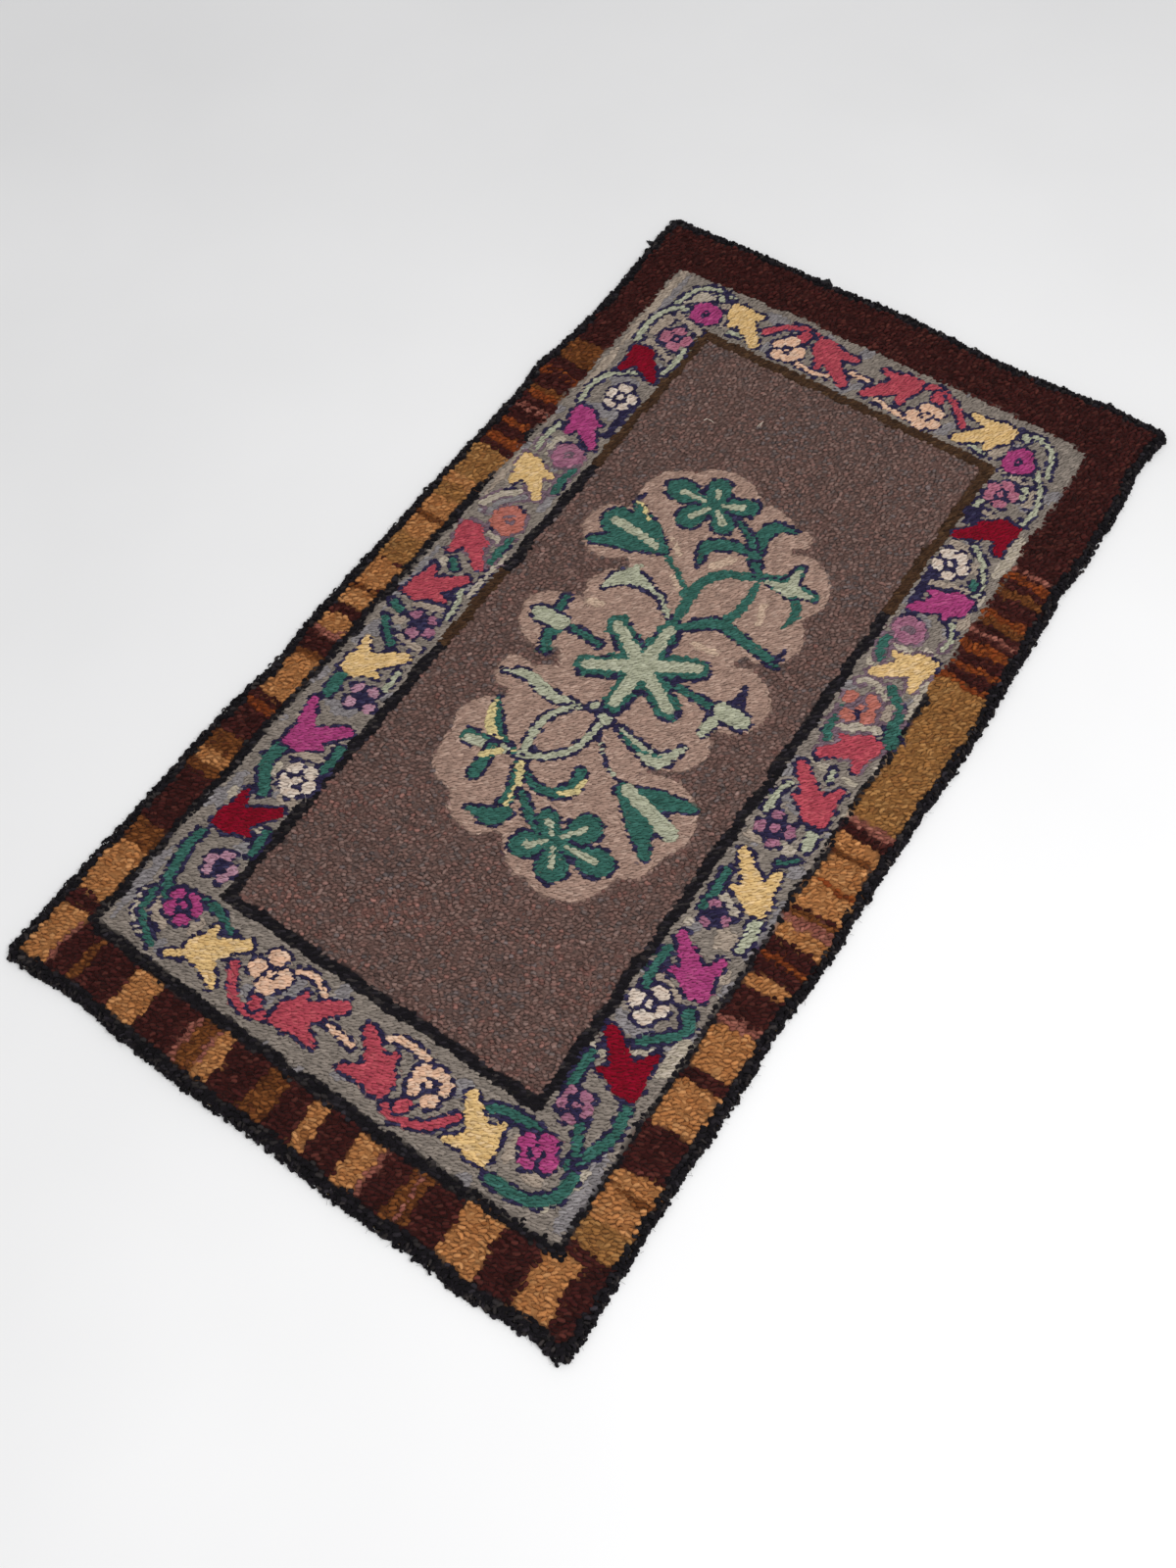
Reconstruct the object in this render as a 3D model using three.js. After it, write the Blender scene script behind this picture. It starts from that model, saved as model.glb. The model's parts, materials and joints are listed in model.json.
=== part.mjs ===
// A hooked rug: coarse foundation cloth with wool yarn pulled through it in close loops.
// It lies flat. Millimetres, +Z up, X across the rug, Y along it, far end at +Y.
// The origin is on the underside, at the middle of the rug.
import * as THREE from 'three';

// ---- Driving dimensions -------------------------------------------------------------------

const RUG_WIDTH = 690;
const RUG_LENGTH = 1240;

// Height of the loops' tops above the floor in the striped outer band and the black edge,
// whose yarn is the loftiest.
const BAND_TOP = 9.6;

// The two rectangles of the drawing inside that band, each with its own height of loops.
// Neither is quite centred on the cloth.
const ZONES = [
  { name: 'flowered border', width: 552, length: 1066, x: -7, y: 1, top: 8.6 },
  { name: 'plain field', width: 382, length: 910, x: -4, y: 7, top: 9.1 },
];
const STEP_RUN = 16; // a change of pile height is spread over this distance

// Hooked edge, seen in section: the last loops lean outwards over the turned-under hem.
const EDGE_SECTION = [
  { inset: 5.0, height: 0.93 }, // height is a share of the band's top
  { inset: 1.4, height: 0.72 },
  { inset: 0.0, height: 0.42 },
  { inset: 3.2, height: 0.0 },
];
const CORNER_ROUND = 13;

// Where the sides stand out from straight lines or draw in, by hand work and wear.
// side, place along it, how far the swell reaches each way, and how far it stands out.
const SWELLS = [
  { side: 'left', at: 455, reach: 75, out: -5 },
  { side: 'left', at: 313, reach: 24, out: 5 },
  { side: 'left', at: 90, reach: 80, out: 1.5 },
  { side: 'left', at: -200, reach: 34, out: -4.5 },
  { side: 'left', at: -330, reach: 60, out: 1.5 },
  { side: 'right', at: 550, reach: 34, out: -6 },
  { side: 'right', at: 340, reach: 30, out: -3 },
  { side: 'right', at: 120, reach: 95, out: 5 },
  { side: 'right', at: -160, reach: 40, out: 2 },
  { side: 'right', at: -262, reach: 32, out: -4 },
  { side: 'right', at: -450, reach: 110, out: -3 },
  { side: 'far', at: -300, reach: 50, out: -2.5 },
  { side: 'far', at: -5, reach: 55, out: 4 },
  { side: 'far', at: 150, reach: 60, out: -2.5 },
  { side: 'far', at: 268, reach: 22, out: 3.5 },
  { side: 'near', at: -250, reach: 48, out: -5 },
  { side: 'near', at: -90, reach: 42, out: 2 },
  { side: 'near', at: 95, reach: 60, out: 3 },
  { side: 'near', at: 228, reach: 24, out: 3.5 },
  { side: 'near', at: 300, reach: 26, out: -2.5 },
];

// Slow unevenness of the hooked surface: wavelength, heading of the crests' normal, depth.
const WAVES = [
  { length: 330, heading: 20, depth: 0.3 },
  { length: 190, heading: 112, depth: 0.3 },
  { length: 105, heading: 65, depth: 0.25 },
];

const GRID_STEP = 17; // mesh spacing over the pile

// Two ends of the binding tape on the underside that have come out past the edge.
const TAPE_THICKNESS = 1.2;
const TAPE_TUCK = 1.5; // how far each end starts inside the edge's widest line
const TAPE_ENDS = [
  { name: 'binding_tape_end_far', side: 'far', at: -119, width: 18, reach: 10, tip: 1 },
  { name: 'binding_tape_end_left', side: 'left', at: 564, width: 8, reach: 10, tip: -2 },
];

const COLOURS = { pile: '#5d4540', tape: '#17181a' };

// ---- Outline ------------------------------------------------------------------------------

// How far a side stands out from its straight line at a place along it.
function swell(side, place) {
  return SWELLS.filter((s) => s.side === side).reduce(
    (sum, s) => sum + s.out * Math.exp(-(((place - s.at) / s.reach) ** 2)),
    0,
  );
}

// The rug's plan: u and v run from -1 to 1 across and along it. The sides' swells fade inwards.
function planPoint(u, v) {
  const x = (u * RUG_WIDTH) / 2;
  const y = (v * RUG_LENGTH) / 2;
  const across = swell(u < 0 ? 'left' : 'right', y) * Math.abs(u) ** 3;
  const along = swell(v < 0 ? 'near' : 'far', x) * Math.abs(v) ** 3;
  const point = new THREE.Vector2(x + Math.sign(u) * across, y + Math.sign(v) * along);
  return roundedCorner(point);
}

// Draws a point in towards the corner's arc where it lies beyond it.
function roundedCorner(point) {
  const centre = new THREE.Vector2(
    Math.sign(point.x) * (RUG_WIDTH / 2 - CORNER_ROUND),
    Math.sign(point.y) * (RUG_LENGTH / 2 - CORNER_ROUND),
  );
  const beyond = point.clone().sub(centre);
  const outX = beyond.x * Math.sign(point.x);
  const outY = beyond.y * Math.sign(point.y);
  if (outX <= 0 || outY <= 0 || beyond.length() <= CORNER_ROUND) return point;
  return centre.add(beyond.setLength(CORNER_ROUND));
}

// ---- Height of the pile -------------------------------------------------------------------

// 0 outside a rectangle of the drawing and 1 inside it, with a soft change at its sides.
function inside(zone, x, y) {
  const past = Math.max(
    Math.abs(x - zone.x) - zone.width / 2,
    Math.abs(y - zone.y) - zone.length / 2,
  );
  return 1 - THREE.MathUtils.smoothstep(past, -STEP_RUN / 2, STEP_RUN / 2);
}

function pileTop(x, y) {
  const level = ZONES.reduce(
    (height, zone) => THREE.MathUtils.lerp(height, zone.top, inside(zone, x, y)),
    BAND_TOP,
  );
  const wave = WAVES.reduce((sum, w) => {
    const turn = THREE.MathUtils.degToRad(w.heading);
    const along = x * Math.cos(turn) + y * Math.sin(turn);
    return sum + w.depth * Math.sin((2 * Math.PI * along) / w.length);
  }, 0);
  return level + wave;
}

// ---- The mat, one closed body --------------------------------------------------------------

// The grid's outermost points, anticlockwise seen from above, as [column, row].
function rimCells(columns, rows) {
  const rim = [];
  for (let i = 0; i < columns; i++) rim.push([i, 0]);
  for (let j = 0; j < rows; j++) rim.push([columns, j]);
  for (let i = columns; i > 0; i--) rim.push([i, rows]);
  for (let j = rows; j > 0; j--) rim.push([0, j]);
  return rim;
}

// Each rim point's direction out of the rug, from its two neighbours.
function outwardNormals(points) {
  return points.map((_, i) => {
    const before = points.at(i - 1);
    const after = points[(i + 1) % points.length];
    return new THREE.Vector2(after.y - before.y, before.x - after.x).normalize();
  });
}

function matGeometry() {
  const columns = Math.round(RUG_WIDTH / GRID_STEP);
  const rows = Math.round(RUG_LENGTH / GRID_STEP);
  const positions = [];
  const faces = [];
  const cell = (i, j) => j * (columns + 1) + i;
  const rim = rimCells(columns, rows);
  const outline = rim.map(([i, j]) => planPoint((2 * i) / columns - 1, (2 * j) / rows - 1));
  const normals = outwardNormals(outline);
  const drawnIn = (k, inset) => outline[k].clone().addScaledVector(normals[k], -inset);

  // The pile's surface. Its outermost points are the edge section's first ones.
  for (let j = 0; j <= rows; j++) {
    for (let i = 0; i <= columns; i++) {
      const p = planPoint((2 * i) / columns - 1, (2 * j) / rows - 1);
      positions.push(p.x, p.y, pileTop(p.x, p.y));
    }
  }
  rim.forEach(([i, j], k) => {
    const p = drawnIn(k, EDGE_SECTION[0].inset);
    const top = pileTop(p.x, p.y) * EDGE_SECTION[0].height;
    positions.splice(3 * cell(i, j), 3, p.x, p.y, top);
  });
  for (let j = 0; j < rows; j++) {
    for (let i = 0; i < columns; i++) {
      faces.push(cell(i, j), cell(i + 1, j), cell(i + 1, j + 1));
      faces.push(cell(i, j), cell(i + 1, j + 1), cell(i, j + 1));
    }
  }

  // The rounded edge, ring by ring, down to the floor.
  let upper = rim.map(([i, j]) => cell(i, j));
  EDGE_SECTION.slice(1).forEach(({ inset, height }) => {
    const first = positions.length / 3;
    const lower = rim.map((_, k) => first + k);
    rim.forEach((_, k) => {
      const p = drawnIn(k, inset);
      positions.push(p.x, p.y, pileTop(p.x, p.y) * height);
    });
    rim.forEach((_, k) => {
      const next = (k + 1) % rim.length;
      faces.push(lower[k], lower[next], upper[next]);
      faces.push(lower[k], upper[next], upper[k]);
    });
    upper = lower;
  });

  // The flat underside.
  const foot = rim.map((_, k) => drawnIn(k, EDGE_SECTION.at(-1).inset));
  THREE.ShapeUtils.triangulateShape(foot, []).forEach(([a, b, c]) => {
    faces.push(upper[c], upper[b], upper[a]);
  });

  const geometry = new THREE.BufferGeometry();
  geometry.setAttribute('position', new THREE.Float32BufferAttribute(positions, 3));
  geometry.setIndex(faces);
  geometry.computeVertexNormals();
  return geometry;
}

// ---- Ends of the binding tape --------------------------------------------------------------

// A tape end folded to a point, lying on the floor, with its root under the hooked edge.
function tapeEndGeometry({ width, reach, tip }) {
  const half = width / 2;
  const outline = new THREE.Shape();
  outline.moveTo(-half, -TAPE_TUCK);
  outline.lineTo(half, -TAPE_TUCK);
  outline.lineTo(half * 0.8, reach * 0.3);
  outline.quadraticCurveTo(tip + half * 0.35, reach * 0.8, tip, reach);
  outline.quadraticCurveTo(tip - half * 0.3, reach * 0.6, -half * 0.75, reach * 0.2);
  outline.closePath();
  return new THREE.ExtrudeGeometry(outline, {
    depth: TAPE_THICKNESS,
    bevelEnabled: false,
    curveSegments: 5,
  });
}

// A place on the floor at a side's edge, and the turn that takes +Y to the side's outward way.
function edgePlace(side, at) {
  if (side === 'far') return { x: at, y: RUG_LENGTH / 2 + swell('far', at), turn: 0 };
  return { x: -RUG_WIDTH / 2 - swell('left', at), y: at, turn: Math.PI / 2 };
}

// ---- Assembly ------------------------------------------------------------------------------

function cloth(name, geometry, colour) {
  const material = new THREE.MeshStandardMaterial({ color: colour, roughness: 0.95, metalness: 0 });
  const mesh = new THREE.Mesh(geometry, material);
  mesh.name = name;
  return mesh;
}

const rug = new THREE.Group();
rug.add(cloth('hooked_mat', matGeometry(), COLOURS.pile));

TAPE_ENDS.forEach((end) => {
  const mesh = cloth(end.name, tapeEndGeometry(end), COLOURS.tape);
  const { x, y, turn } = edgePlace(end.side, end.at);
  mesh.position.set(x, y, 0);
  mesh.rotation.z = turn;
  rug.add(mesh);
});

export default rug;
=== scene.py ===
"""A hooked rug: wool yarn pulled in close loops through a coarse jute cloth.

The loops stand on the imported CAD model's plan and heights. The drawing is laid out in
millimetres in the rug's own frame, and every mesh is made in metres in the same frame.
"""

import json
import math
from collections import namedtuple

import bpy
import numpy as np
from bpy.props import FloatProperty, FloatVectorProperty, IntProperty, PointerProperty
from mathutils import Matrix, Vector

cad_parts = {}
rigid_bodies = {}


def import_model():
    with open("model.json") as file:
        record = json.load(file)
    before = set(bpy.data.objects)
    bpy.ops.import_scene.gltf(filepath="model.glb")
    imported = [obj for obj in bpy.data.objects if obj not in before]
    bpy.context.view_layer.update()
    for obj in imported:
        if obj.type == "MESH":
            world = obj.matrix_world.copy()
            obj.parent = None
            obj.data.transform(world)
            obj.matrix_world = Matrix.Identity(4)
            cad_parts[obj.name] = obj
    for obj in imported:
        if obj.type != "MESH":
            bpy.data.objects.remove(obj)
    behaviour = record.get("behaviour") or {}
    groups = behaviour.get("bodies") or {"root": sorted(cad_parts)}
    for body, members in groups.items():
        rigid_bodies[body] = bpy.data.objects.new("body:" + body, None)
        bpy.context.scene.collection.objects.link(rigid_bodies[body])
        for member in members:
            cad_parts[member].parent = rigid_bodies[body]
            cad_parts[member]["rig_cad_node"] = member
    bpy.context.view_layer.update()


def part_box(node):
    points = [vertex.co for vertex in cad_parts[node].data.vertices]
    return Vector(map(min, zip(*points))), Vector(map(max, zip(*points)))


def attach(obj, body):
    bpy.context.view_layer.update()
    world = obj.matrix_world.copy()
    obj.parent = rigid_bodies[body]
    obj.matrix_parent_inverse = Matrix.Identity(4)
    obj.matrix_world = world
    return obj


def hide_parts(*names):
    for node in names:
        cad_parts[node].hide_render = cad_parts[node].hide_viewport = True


bl_info = {
    "name": "Hooked rug",
    "version": (1, 0, 0),
    "blender": (4, 5, 0),
    "location": "3D View > Sidebar > Hooked rug",
    "description": "Makes a hooked wool rug loop by loop, with its drawing, cloth and studio",
    "category": "Object",
}

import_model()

MM = 0.001


# ---- Plan and heights, as the CAD model has them ---------------------------------------------

RUG_WIDTH = 690.0
RUG_LENGTH = 1240.0
BAND_TOP = 9.6
CORNER_ROUND = 13.0
STEP_RUN = 16.0

Zone = namedtuple("Zone", "width length x y top")
BORDER = Zone(552.0, 1066.0, -7.0, 1.0, 8.6)
FIELD = Zone(382.0, 910.0, -4.0, 7.0, 9.1)

# Bows and steps of the sides, in mm: place along the side, reach, and how far it stands out.
Swell = namedtuple("Swell", "at reach out")
SWELLS = {
    "left": [
        Swell(455, 75, -5),
        Swell(313, 24, 5),
        Swell(90, 80, 1.5),
        Swell(-200, 34, -4.5),
        Swell(-330, 60, 1.5),
    ],
    "right": [
        Swell(550, 34, -6),
        Swell(340, 30, -3),
        Swell(120, 95, 5),
        Swell(-160, 40, 2),
        Swell(-262, 32, -4),
        Swell(-450, 110, -3),
    ],
    "far": [
        Swell(-300, 50, -2.5),
        Swell(-5, 55, 4),
        Swell(150, 60, -2.5),
        Swell(268, 22, 3.5),
    ],
    "near": [
        Swell(-250, 48, -5),
        Swell(-90, 42, 2),
        Swell(95, 60, 3),
        Swell(228, 24, 3.5),
        Swell(300, 26, -2.5),
    ],
}

# Broad waves in the height of the pile: length in mm, heading in degrees, depth in mm.
Wave = namedtuple("Wave", "length heading depth")
WAVES = [Wave(330, 20, 0.3), Wave(190, 112, 0.3), Wave(105, 65, 0.25)]


def swell(side, place):
    """How far a side of the rug stands out beyond its straight line, in mm."""
    out = np.zeros_like(place)
    for s in SWELLS[side]:
        out += s.out * np.exp(-(((place - s.at) / s.reach) ** 2))
    return out


def inset(x, y):
    """How far inside the rug's outline each spot lies, in mm."""
    across = np.minimum(
        x + RUG_WIDTH / 2 + swell("left", y), RUG_WIDTH / 2 + swell("right", y) - x
    )
    along = np.minimum(
        y + RUG_LENGTH / 2 + swell("near", x), RUG_LENGTH / 2 + swell("far", x) - y
    )
    rounded = CORNER_ROUND - np.hypot(
        np.maximum(CORNER_ROUND - across, 0), np.maximum(CORNER_ROUND - along, 0)
    )
    in_corner = (across < CORNER_ROUND) & (along < CORNER_ROUND)
    return np.where(in_corner, rounded, np.minimum(across, along))


def past_edge(zone, x, y):
    """How far outside a rectangle of the drawing each spot lies, negative inside it."""
    return np.maximum(
        np.abs(x - zone.x) - zone.width / 2, np.abs(y - zone.y) - zone.length / 2
    )


def pile_top(x, y):
    """Height of the loops' tops above the floor, in mm."""
    height = np.full_like(x, BAND_TOP)
    for zone in (BORDER, FIELD):
        share = np.clip(past_edge(zone, x, y) / STEP_RUN + 0.5, 0, 1)
        height += (zone.top - height) * (1 - share * share * (3 - 2 * share))
    for wave in WAVES:
        way = math.radians(wave.heading)
        travel = x * math.cos(way) + y * math.sin(way)
        height += wave.depth * np.sin(2 * math.pi * travel / wave.length)
    return height


# ---- Dyed wools --------------------------------------------------------------------------------

# Each wool's shade and its flecks in sRGB hex, the share of its loops that take a fleck, how
# unevenly it took its dye, and what it is used for.
Wool = namedtuple("Wool", "shade flecks share uneven use")
WOOLS = {
    # Charcoal's grey flecks are partly grey fibres in the black wool and partly painted highlights.
    "charcoal": Wool("#161317", ("#2b272c", "#363130"), 0.30, 0.20, "hooked edge and dark outlines"),
    "walnut": Wool("#3b1715", ("#4f2721", "#290f0d"), 0.40, 0.14, "ground of the outer band"),
    "umber": Wool("#673b1c", ("#7c4b26", "#512a17"), 0.40, 0.12, "brown stripes"),
    "rust": Wool("#783818", ("#8e4c21", "#5f2d16"), 0.40, 0.12, "rust stripes"),
    "gold": Wool("#a87143", ("#b98555", "#935d33"), 0.45, 0.08, "gold stripes"),
    "ochre": Wool("#916437", ("#a07546", "#794f2b"), 0.45, 0.08, "olive ochre stripes"),
    "plum": Wool("#865044", ("#996254", "#704036"), 0.45, 0.10, "plum brown stripes"),
    "heather": Wool("#6f564f", ("#5e4b46", "#635754", "#775952", "#7d665f"), 0.65, 0.06, "plain field"),
    "stone": Wool("#655856", ("#5a504f", "#706362"), 0.60, 0.07, "greyer patches of the field"),
    "russet": Wool("#7b5850", ("#6e4d47", "#855f57"), 0.60, 0.12, "reddish patches of the field"),
    "tan": Wool("#a08476", ("#b39889", "#91776b"), 0.50, 0.05, "ground of the medallion"),
    "sand": Wool("#c2a994", ("#b49a87",), 0.35, 0.05, "light swirls of the medallion"),
    "moss": Wool("#432e1f", ("#543d29", "#312116"), 0.40, 0.12, "brown outlines"),
    "ash": Wool("#837970", ("#90857b", "#756c64"), 0.50, 0.05, "ground of the border"),
    "slate": Wool("#847e7f", ("#918c8c", "#767171"), 0.50, 0.05, "bluish border ground"),
    "oatmeal": Wool("#9c8d7f", ("#aa9b8b",), 0.40, 0.05, "beige border ground"),
    "bone": Wool("#a99e8d", ("#b6aa9c",), 0.40, 0.05, "pale flecks beside the vines"),
    "dusk": Wool("#6e5a64", ("#7d6872", "#5e4c57"), 0.50, 0.08, "soft outlines along the sides"),
    "navy": Wool("#28233e", ("#3a3752",), 0.25, 0.14, "outlines of the flowers"),
    "yellow": Wool("#d4b37c", ("#dcbe92", "#c9a56c"), 0.45, 0.04, "yellow flowers"),
    "coral": Wool("#aa4652", ("#b8545d", "#9d3e4c"), 0.45, 0.05, "coral flowers"),
    "salmon": Wool("#aa6558", ("#b77368",), 0.40, 0.06, "salmon rosettes"),
    "crimson": Wool("#7a041e", ("#850824", "#6d041a"), 0.45, 0.05, "crimson flowers"),
    "magenta": Wool("#a13e73", ("#ae4f7e", "#943668"), 0.45, 0.05, "magenta flowers"),
    "mauve": Wool("#986479", ("#a57586", "#89566e"), 0.45, 0.06, "mauve rosettes"),
    "blush": Wool("#a87e8f", ("#b28c9a", "#9a6f7f"), 0.40, 0.06, "pale pink rosettes"),
    "pink": Wool("#a76578", ("#b37788",), 0.40, 0.06, "pink rosettes"),
    "peach": Wool("#d6ae92", ("#d8baa3",), 0.40, 0.05, "peach rosettes and stems"),
    "cream": Wool("#cebeaf", ("#d6c9bb", "#c2ae9d"), 0.45, 0.05, "cream rosettes"),
    "teal": Wool("#346056", ("#3f6e64", "#2c5149"), 0.45, 0.06, "leaves and stems"),
    "sage": Wool("#a7a891", ("#b5b6a0", "#989a83"), 0.45, 0.05, "pale leaves and petals"),
    "primrose": Wool("#cfbd88", ("#c0b283",), 0.40, 0.07, "yellow lights in the leaves"),
}
WOOL_NUMBER = {name: number for number, name in enumerate(WOOLS)}


def linear(shade):
    """An sRGB hex colour as linear red, green and blue."""
    channels = [int(shade[i : i + 2], 16) / 255 for i in (1, 3, 5)]
    return [c / 12.92 if c <= 0.04045 else ((c + 0.055) / 1.055) ** 2.4 for c in channels]


# ---- Distances for the drawing, in mm ---------------------------------------------------------

FAR_AWAY = 1000.0
CURVE_STEPS = 5
NEARBY = 24.0  # distances to a stroke are worked out this far beyond its width
DRIFT_WAVES = 8
DRIFT_LENGTHS = (1.5, 3.5)  # shortest and longest of those waves, as shares of the reach


def smooth_line(points):
    """A smooth curve through a few points, and where each of them falls on it from 0 to 1."""
    p = np.array(points, float)
    if len(p) == 2:
        return p, np.array([0.0, 1.0])
    ends = np.vstack([2 * p[0] - p[1], p, 2 * p[-1] - p[-2]])
    line = []
    for i in range(len(p) - 1):
        a, b, c, d = ends[i : i + 4]
        for t in np.arange(CURVE_STEPS) / CURVE_STEPS:
            bend = (2 * a - 5 * b + 4 * c - d) * t * t + (3 * b - a - 3 * c + d) * t**3
            line.append(b + 0.5 * ((c - a) * t + bend))
    line.append(p[-1])
    return np.array(line), np.linspace(0, 1, len(line))


def stroke(x, y, points, widths):
    """Distance to a stroke through the points, whose width changes evenly along it."""
    line, share = smooth_line(points)
    half = np.interp(share, np.linspace(0, 1, len(widths)), np.array(widths) / 2)
    margin = half.max() + NEARBY
    low, high = line.min(axis=0) - margin, line.max(axis=0) + margin
    close = np.flatnonzero((x > low[0]) & (x < high[0]) & (y > low[1]) & (y < high[1]))
    best = np.full(len(x), FAR_AWAY)
    if not len(close):
        return best
    px, py = x[close], y[close]
    found = np.full(len(close), FAR_AWAY)
    for (ax, ay), (bx, by), ra, rb in zip(line[:-1], line[1:], half[:-1], half[1:]):
        ux, uy = bx - ax, by - ay
        t = np.clip(((px - ax) * ux + (py - ay) * uy) / (ux * ux + uy * uy), 0, 1)
        reach = np.hypot(px - ax - t * ux, py - ay - t * uy) - (ra + (rb - ra) * t)
        found = np.minimum(found, reach)
    best[close] = found
    return best


def ray(x, y, start, bearing, length, widths, offset=0.0):
    """Distance to a straight stroke that leaves start at a bearing in degrees."""
    way = math.radians(bearing)
    ux, uy = math.cos(way), math.sin(way)
    first = (start[0] + ux * offset, start[1] + uy * offset)
    return stroke(x, y, [first, (start[0] + ux * length, start[1] + uy * length)], widths)


def drift(x, y, reach, seed):
    """Slow random drift over the rug, mostly between -1 and 1, in blotches about reach wide."""
    draw = np.random.default_rng(seed)
    total = np.zeros_like(x)
    for _ in range(DRIFT_WAVES):
        way = draw.uniform(0, 2 * math.pi)
        wave = reach * draw.uniform(*DRIFT_LENGTHS)
        start = draw.uniform(0, 2 * math.pi)
        travel = x * math.cos(way) + y * math.sin(way)
        total += np.sin(2 * math.pi * travel / wave + start)
    return total / math.sqrt(DRIFT_WAVES)


# A drift with its share in what it moves, its reach in mm and its seed.
Drift = namedtuple("Drift", "share reach seed")


def drifts(x, y, *parts):
    """Drifts added up, each by its share."""
    return sum(part.share * drift(x, y, part.reach, part.seed) for part in parts)


# ---- The drawing: outer band ------------------------------------------------------------------

# How far the black hooking of the edge reaches in, in mm, along three sides and the near one.
EDGE_ROWS = 13.0
NEAR_EDGE_ROWS = 17.0
NEAR_EDGE_FROM = [-610.0, -590.0]
EDGE_SHAKE = Drift(1.5, 14, 41)

# Stripes of the band by side: place from, place to, wool.
Stripe = namedtuple("Stripe", "start end wool")
STRIPES = {
    "left": [
        Stripe(370, 335, "umber"),
        Stripe(313, 310, "rust"),
        Stripe(306, 303, "rust"),
        Stripe(283, 274, "umber"),
        Stripe(274, 265, "rust"),
        Stripe(251, 247, "plum"),
        Stripe(244, 240, "plum"),
        Stripe(220, 210, "rust"),
        Stripe(195, 180, "rust"),
        Stripe(167, 118, "ochre"),
        Stripe(118, 100, "gold"),
        Stripe(100, 80, "ochre"),
        Stripe(80, 50, "gold"),
        Stripe(50, 45, "umber"),
        Stripe(45, 15, "gold"),
        Stripe(15, -25, "ochre"),
        Stripe(-27, -70, "gold"),
        Stripe(-72, -78, "umber"),
        Stripe(-78, -98, "gold"),
        Stripe(-115, -138, "gold"),
        Stripe(-138, -148, "plum"),
        Stripe(-170, -180, "umber"),
        Stripe(-180, -240, "gold"),
        Stripe(-253, -262, "rust"),
        Stripe(-302, -325, "umber"),
        Stripe(-325, -340, "gold"),
        Stripe(-340, -352, "umber"),
        Stripe(-428, -455, "umber"),
        Stripe(-455, -520, "gold"),
    ],
    "right": [
        Stripe(347, 343, "plum"),
        Stripe(340, 328, "rust"),
        Stripe(317, 305, "umber"),
        Stripe(280, 271, "rust"),
        Stripe(271, 262, "umber"),
        Stripe(250, 246, "plum"),
        Stripe(237, 222, "rust"),
        Stripe(205, 198, "rust"),
        Stripe(183, 175, "rust"),
        Stripe(175, -20, "ochre"),
        Stripe(-20, -30, "plum"),
        Stripe(-42, -62, "gold"),
        Stripe(-62, -69, "umber"),
        Stripe(-69, -100, "gold"),
        Stripe(-100, -104, "rust"),
        Stripe(-104, -137, "gold"),
        Stripe(-138, -146, "umber"),
        Stripe(-146, -158, "plum"),
        Stripe(-158, -176, "gold"),
        Stripe(-195, -202, "rust"),
        Stripe(-220, -233, "gold"),
        Stripe(-273, -281, "plum"),
        Stripe(-281, -331, "gold"),
        Stripe(-346, -396, "gold"),
        Stripe(-446, -462, "gold"),
        Stripe(-462, -470, "umber"),
        Stripe(-470, -498, "gold"),
        Stripe(-498, -527, "ochre"),
    ],
    "near": [
        Stripe(-335, -302, "gold"),
        Stripe(-302, -298, "plum"),
        Stripe(-272, -262, "umber"),
        Stripe(-217, -183, "gold"),
        Stripe(-133, -126, "plum"),
        Stripe(-126, -105, "umber"),
        Stripe(-108, -103, "plum"),
        Stripe(-103, -85, "gold"),
        Stripe(-42, -15, "umber"),
        Stripe(15, 35, "gold"),
        Stripe(70, 95, "gold"),
        Stripe(95, 102, "plum"),
        Stripe(130, 155, "umber"),
        Stripe(140, 145, "plum"),
        Stripe(190, 230, "gold"),
        Stripe(275, 308, "gold"),
    ],
}
NEAR_STRIPES = -541.0  # the near side's stripes lie nearer than this
BAND_SHAKE = [Drift(1.7, 22, 11), Drift(1.2, 7, 12)]


def side_place(side, x, y):
    """Where each spot lies along a side."""
    return x if side in ("far", "near") else y


def between(place, row):
    """Whether each place lies between a row's start and end, in either order."""
    return (place > min(row.start, row.end)) & (place < max(row.start, row.end))


def band_side(x, y):
    """Which side's stripes each spot of the outer band belongs to."""
    side = np.where(x < BORDER.x, "left", "right")
    return np.where(y < NEAR_STRIPES, "near", side)


# ---- The drawing: lines between the zones ------------------------------------------------------

# Hooked lines round the field, by side.
FIELD_LINES = {
    "far": [
        Stripe(-400, 400, "moss"),
    ],
    "near": [
        Stripe(-400, 400, "charcoal"),
    ],
    "left": [
        Stripe(700, 215, "moss"),
        Stripe(215, 35, "charcoal"),
        Stripe(35, -85, "moss"),
        Stripe(-85, -700, "charcoal"),
    ],
    "right": [
        Stripe(700, 215, "moss"),
        Stripe(215, -700, "charcoal"),
    ],
}
FIELD_LINE = Zone(388.0, 904.0, -2.0, 7.0, 0.0)
FIELD_LINE_WIDTH = 12.5

# The border's ground bows outward at both ends, and lines of black run outside it.
GROUND = Zone(562.0, 1074.0, -4.0, 1.0, 0.0)
GROUND_BOW = 7.0
BLACK_LEFT, BLACK_RIGHT, BLACK_NEAR = 11.0, 7.0, 13.0
BLACK_LINE_TOP = 200.0
BLACK_LINE_FADE = 60.0


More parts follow.
